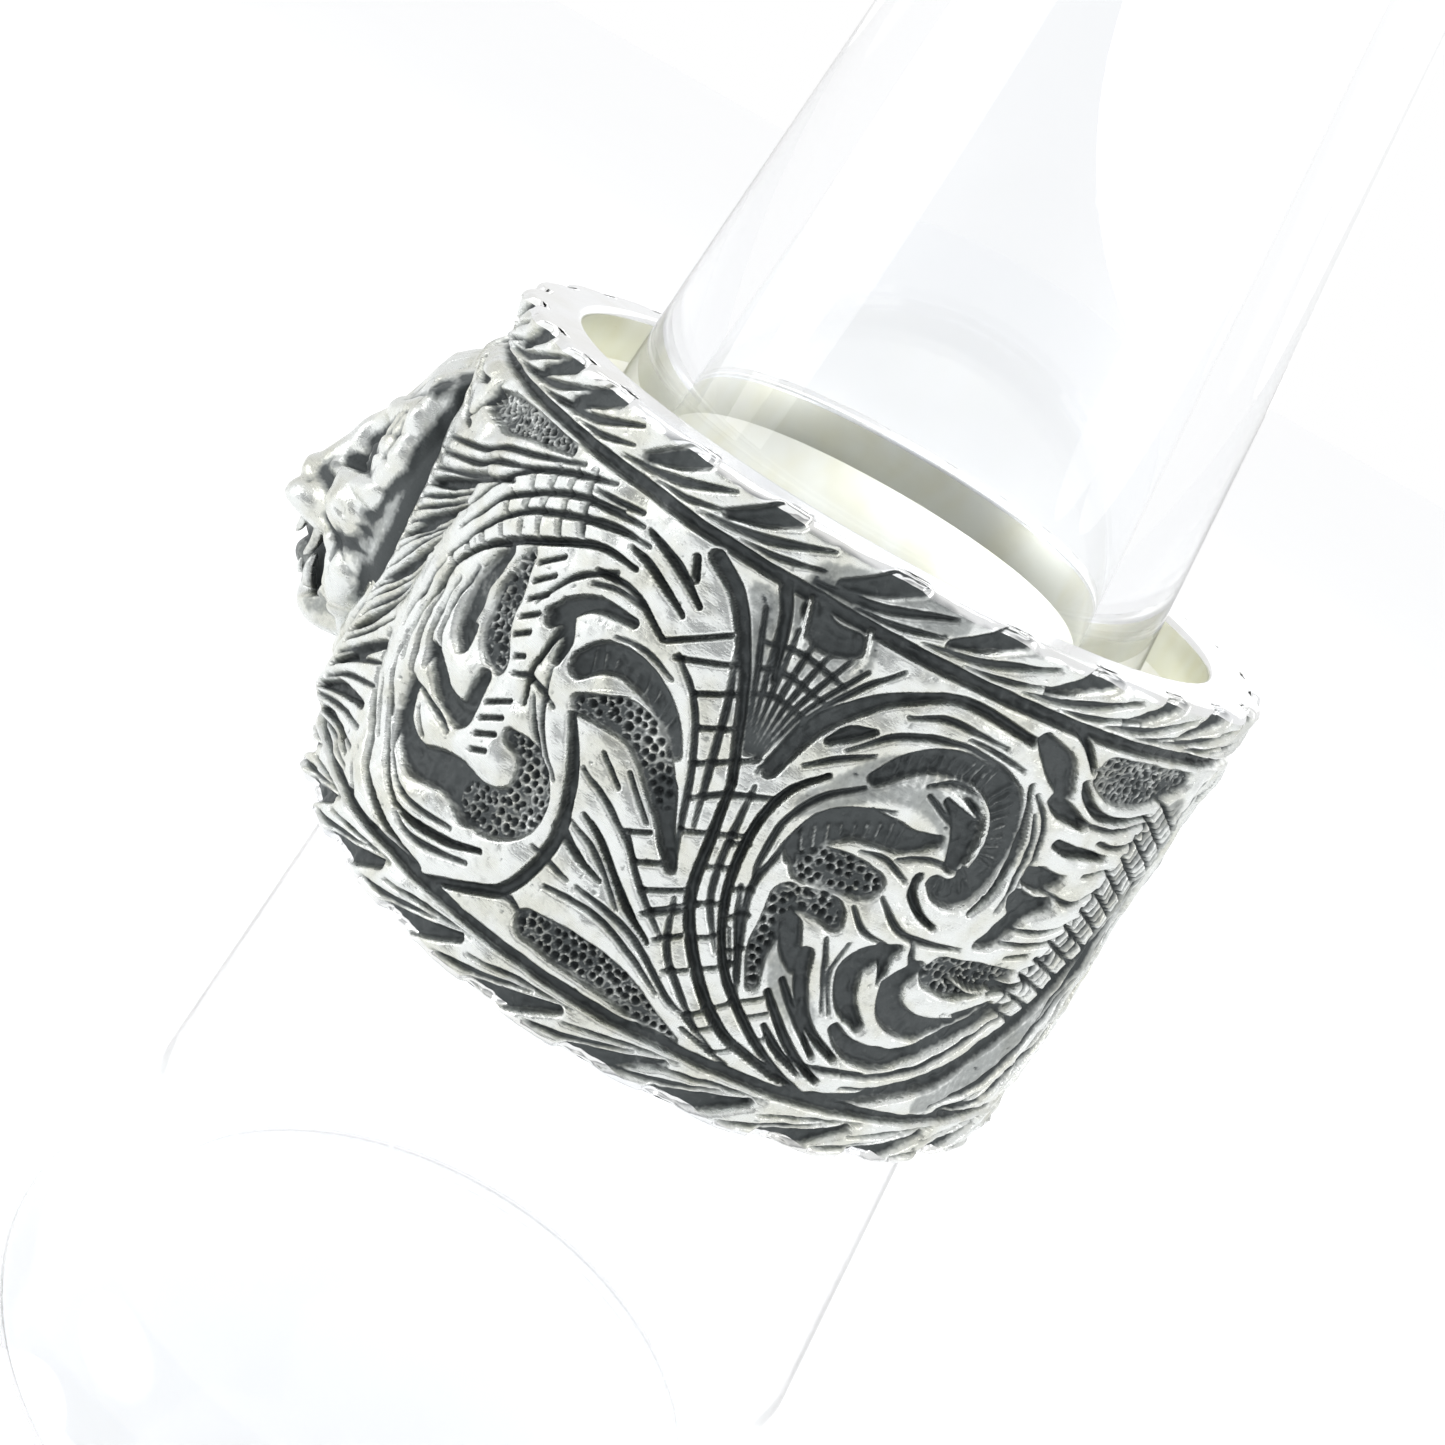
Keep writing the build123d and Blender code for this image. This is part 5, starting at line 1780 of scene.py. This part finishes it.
@dataclass
class RingStand:
    """The clear stand: a foot, a flare, a long cone and a round tip, with a sealed hollow inside.

    Attributes:
        height: Height of the stand.
        base_radius: Radius of the foot.
        seat_height: Height at which the ring's lower edge sits.
        seat_radius: The cone's radius there.
        taper: How much the radius falls for each millimetre of height.
        edge_height: Height of the foot's upright edge.
        flare_height: Height at which the flare meets the cone.
        tip_round: Round of the tip's edge.
        wall: Thickness of the wall, measured level.
        foot: Thickness of the foot's plate.
        cover: Thickness of the top.
        foot_round: Round of the foot's lower edge.
        around: Points round the stand.
    """

    height: float
    base_radius: float
    seat_height: float
    seat_radius: float
    taper: float = tan(radians(6.5))
    edge_height: float = 1.2
    flare_height: float = 7.0
    tip_round: float = 3.0
    wall: float = 1.8
    foot: float = 1.5
    cover: float = 3.0
    foot_round: float = 0.3
    around: int = 128
    pieces: list = field(default_factory=list)

    def outline(self, inset: float, foot: float, edge: float, top: float, tip_round: float) -> np.ndarray:
        """Radius and height from the middle of the top to the middle of the foot.

        The flare is the arc that leaves the cone along its slope and ends at the foot's edge,
        and the tip's round is an arc between the top and the cone.

        Args:
            inset: How far the outline is set in from the outside.
            foot: Height of the foot's plane.
            edge: Height at which the flare ends.
            top: Height of the top.
            tip_round: Radius of the tip's round.

        Returns:
            The outline's points, the first and the last on the axis.
        """
        outward = np.array([1.0, self.taper]) / hypot(self.taper, 1)
        down = np.array([self.taper, -1.0]) / hypot(self.taper, 1)
        cone_radius = self.seat_radius - inset + self.taper * (self.seat_height - self.flare_height)
        start, end = np.array([cone_radius, self.flare_height]), np.array([self.base_radius - inset, edge])
        radius = (end - start) @ (end - start) / (2 * (end - start) @ outward)
        centre = start + radius * outward
        sweep = np.arctan2((end - centre) @ down, -(end - centre) @ outward)
        turn = np.linspace(0, sweep, 22)[:, None]
        flare = centre - radius * (np.cos(turn) * outward - np.sin(turn) * down)
        lean = np.arctan(self.taper)
        middle_height = top - tip_round
        middle_radius = cone_radius - self.taper * (middle_height - self.flare_height)
        middle_radius -= tip_round / cos(lean)
        around = np.linspace(pi / 2, lean, 16)
        middle = np.array([middle_radius, middle_height])
        tip = middle + tip_round * np.stack([np.cos(around), np.sin(around)], -1)
        cap = np.stack([np.linspace(0, middle_radius, 6)[:-1], np.full(5, top)], -1)
        cone = np.linspace(tip[-1], start, 14)[1:-1]
        edge_turn = np.linspace(0, pi / 2, 6)[:, None]
        rim = np.array([self.base_radius - inset - self.foot_round, foot + self.foot_round])
        rim = rim + self.foot_round * np.hstack([np.cos(edge_turn), -np.sin(edge_turn)])
        under = np.stack([np.linspace(rim[-1, 0], 0, 8)[1:], np.full(7, foot)], -1)
        return np.concatenate([cap, tip, cone, flare, rim, under])

    def turned(self, outline: np.ndarray, first: int) -> tuple[np.ndarray, list]:
        """The outline carried round a full circle, with its ends closed at two poles.

        Args:
            outline: Radius and height of each point.
            first: Number of the first point in the mesh.

        Returns:
            The points, and the faces, which point outwards.
        """
        around = self.around
        turn = np.linspace(0, 2 * pi, around, endpoint=False)[None, :]
        walls = outline[1:-1, :, None]
        points = np.stack([walls[:, 0] * np.cos(turn), walls[:, 0] * np.sin(turn),
                           walls[:, 1] + 0 * turn], -1).reshape(-1, 3)
        poles = [[0.0, 0.0, outline[0, 1]], [0.0, 0.0, outline[-1, 1]]]
        grid = first + np.arange(len(points)).reshape(-1, around)
        top, foot = grid[0], grid[-1]
        top_pole, foot_pole = np.full((2, around), [[grid[-1, -1] + 1], [grid[-1, -1] + 2]])
        top_fan = np.stack([top_pole, top, np.roll(top, -1)], -1)
        foot_fan = np.stack([foot_pole, np.roll(foot, -1), foot], -1)
        faces = between_rings(grid).tolist() + top_fan.tolist() + foot_fan.tolist()
        return np.concatenate([points, poles]), faces

    def build(self) -> list[bpy.types.Object]:
        """Builds the outside and the hollow, whose faces are turned round to point into it."""
        shell = self.outline(0, 0, self.edge_height, self.height, self.tip_round)
        hollow = self.outline(self.wall, self.foot, self.foot + self.edge_height / 2,
                              self.height - self.cover, self.tip_round - self.wall)
        points, faces = self.turned(shell, 0)
        inner_points, inner_faces = self.turned(hollow, len(points))
        faces += [face[::-1] for face in inner_faces]
        both = np.concatenate([points, inner_points])
        self.pieces = [show(smooth_mesh("clear_ring_stand", both, faces))]
        return self.pieces

    def dress(self) -> None:
        """Gives the stand its finish, and lets it cast no shadow, as clear walls hardly do."""
        finish = ClearAcrylic().material()
        for piece in self.pieces:
            piece.data.materials.append(finish)
            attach(piece, "root")
            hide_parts("ring_stand")
            piece.visible_shadow = False


@dataclass(frozen=True)
class SoftBox:
    """A round soft light that is aimed at the ring.

    Attributes:
        name: Where it stands.
        place: Its place, in millimetres.
        size: Its width, in millimetres.
        power: Its power, in watts.
    """

    name: str
    place: Point
    size: float
    power: float

    def build(self, target: Vector) -> None:
        """Adds the light and aims it at a place, in metres."""
        light = bpy.data.lights.new(self.name, "AREA")
        light.shape = "DISK"
        light.size = self.size * METRES
        light.energy = self.power
        lamp = show(light)
        lamp.location = Vector(self.place) * METRES
        lamp.rotation_euler = (target - lamp.location).to_track_quat("-Z", "Y").to_euler()


SOFT_BOXES = (
    SoftBox("overhead", place=(-60, -40, 260), size=240, power=0.20),
    SoftBox("behind", place=(-260, 60, 140), size=220, power=0.06),
    SoftBox("left", place=(60, -230, 90), size=150, power=0.10),
    SoftBox("right", place=(80, 240, 120), size=140, power=0.07),
)


@dataclass
class Studio:
    """Floor, light, surroundings and camera.

    Attributes:
        middle: Height of the ring's middle, in millimetres.
        distance: From the camera to the ring's middle.
        elevation: Degrees that the camera stands above the ring's middle.
        roll: Degrees that the camera is rolled.
        yaw: Degrees that the camera looks aside of the middle.
        pitch: Degrees that it looks above the middle.
        lens: Focal length for a sensor of the width below.
        sensor: Width of the sensor.
        floor_radius: Radius of the floor.
        floor_height: Height of the floor, just inside the foot, so that no air lies between them.
        floor_rings: Rings of points on the floor.
        floor_around: Points round each of them.
        shade_toward: Direction, not of length one, in which the surroundings are darkest.
        open_sky: Colour of the surroundings elsewhere.
        shade: Their darkest colour.
        shade_span: Where the shade starts and where it is full, from 0 opposite it to 1 in it.
    """

    middle: float
    distance: float = 55.8
    elevation: float = 15.6
    roll: float = 30.1
    yaw: float = -1.08
    pitch: float = -1.35
    lens: float = 47.46
    sensor: float = 36.0
    floor_radius: float = 2500.0
    floor_height: float = 0.02
    floor_rings: int = 30
    floor_around: int = 64
    shade_toward: Point = (0.88, -0.25, -0.35)
    open_sky: Colour = (1.0, 1.0, 1.0, 1)
    shade: Colour = (0.34, 0.35, 0.36, 1)
    shade_span: tuple[float, float] = (0.60, 0.95)

    def build(self) -> None:
        """Sets up the floor, the lights, the surroundings and the camera."""
        self.build_floor()
        for box in SOFT_BOXES:
            box.build(Vector((0, 0, self.middle * METRES)))
        self.build_world()
        self.build_camera()

    def build_floor(self) -> None:
        """A wide round floor: rings of points whose radius grows with the square of their number."""
        share = np.linspace(0.02, 1, self.floor_rings)[:, None]
        turn = np.linspace(0, 2 * pi, self.floor_around, endpoint=False)[None, :]
        radius = self.floor_radius * share**2
        level = np.full((self.floor_rings, self.floor_around), self.floor_height)
        points = np.stack([radius * np.cos(turn), radius * np.sin(turn), level], -1)
        grid = np.arange(level.size).reshape(level.shape)
        faces = between_rings(grid).tolist() + [grid[0].tolist()]
        floor = show(smooth_mesh("floor", points.reshape(-1, 3), faces))
        floor.data.materials.append(PaleCard().material())

    def build_world(self) -> None:
        """Pale surroundings, with one shaded part that the silver reflects towards the viewer.

        How far a direction points into the shade is its dot product with the shade's, brought
        from between -1 and 1 to between 0 and 1.
        """
        world = bpy.data.worlds.new("pale_room")
        bpy.context.scene.world = world
        g = Graph(world)
        place = g.node("ShaderNodeTexCoord")
        toward = g.node(
            "ShaderNodeVectorMath", {"operation": "DOT_PRODUCT"},
            {0: Wire(g, place.outputs["Generated"]), 1: self.shade_toward},
        )
        into_shade = 0.5 * Wire(g, toward.outputs["Value"]) + 0.5
        ramp = g.node("ShaderNodeValToRGB", None, {0: into_shade})
        stops = zip(ramp.color_ramp.elements, self.shade_span, (self.open_sky, self.shade))
        for stop, position, colour in stops:
            stop.position, stop.color = position, colour
        background = g.node("ShaderNodeBackground", None, {"Color": Wire(g, ramp.outputs[0])})
        g.node("ShaderNodeOutputWorld", None, {"Surface": Wire(g, background.outputs[0])})

    def build_camera(self) -> None:
        """Stands the camera on the +X side, looking almost at the ring's middle."""
        rise = radians(self.elevation)
        back = Vector((cos(rise), 0, sin(rise)))
        right = Vector((0, 1, 0))
        up = right.cross(-back)
        yaw, pitch, roll = radians(self.yaw), radians(self.pitch), radians(self.roll)
        aim = cos(pitch) * (cos(yaw) * -back + sin(yaw) * right) + sin(pitch) * up
        aim.normalize()
        level_right = aim.cross(up).normalized()
        level_up = level_right.cross(aim)
        across = cos(roll) * level_right + sin(roll) * level_up
        upright = -sin(roll) * level_right + cos(roll) * level_up
        lens = bpy.data.cameras.new("camera")
        lens.lens = self.lens
        lens.sensor_width = self.sensor
        lens.clip_start, lens.clip_end = 0.001, 20
        camera = show(lens)
        turned = Matrix((across, upright, -aim)).transposed().to_4x4()
        stand = (back * self.distance + Vector((0, 0, self.middle))) * METRES
        camera.matrix_world = Matrix.Translation(stand) @ turned
        bpy.context.scene.camera = camera
        bpy.context.scene.view_settings.view_transform = "Standard"


def main() -> None:
    """Builds the ring, its head, its stand and the studio around the frame."""
    logging.basicConfig(level=logging.INFO, format="%(message)s")
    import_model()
    ring_low, ring_high = (np.array(corner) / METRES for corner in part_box("ring"))
    stand_low, stand_high = (np.array(corner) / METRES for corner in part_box("ring_stand"))
    middle = float(ring_low[2] + ring_high[2]) / 2
    half_width = float(ring_high[2] - ring_low[2]) / 2
    band = RingBand(float(ring_high[0]), half_width, middle)
    head = CatHead(middle)
    seat_height = middle - half_width + band.bore_round
    stand = RingStand(
        height=float(stand_high[2] - stand_low[2]),
        base_radius=float(stand_high[0]),
        seat_height=seat_height,
        seat_radius=band.bore - SEAT_CLEARANCE,
    )
    for assembly in (band, head, stand):
        for piece in assembly.build():
            LOG.info("%s: %d faces", piece.name, len(piece.data.polygons))
        assembly.dress()
    Studio(middle).build()


if __name__ == "__main__":
    main()
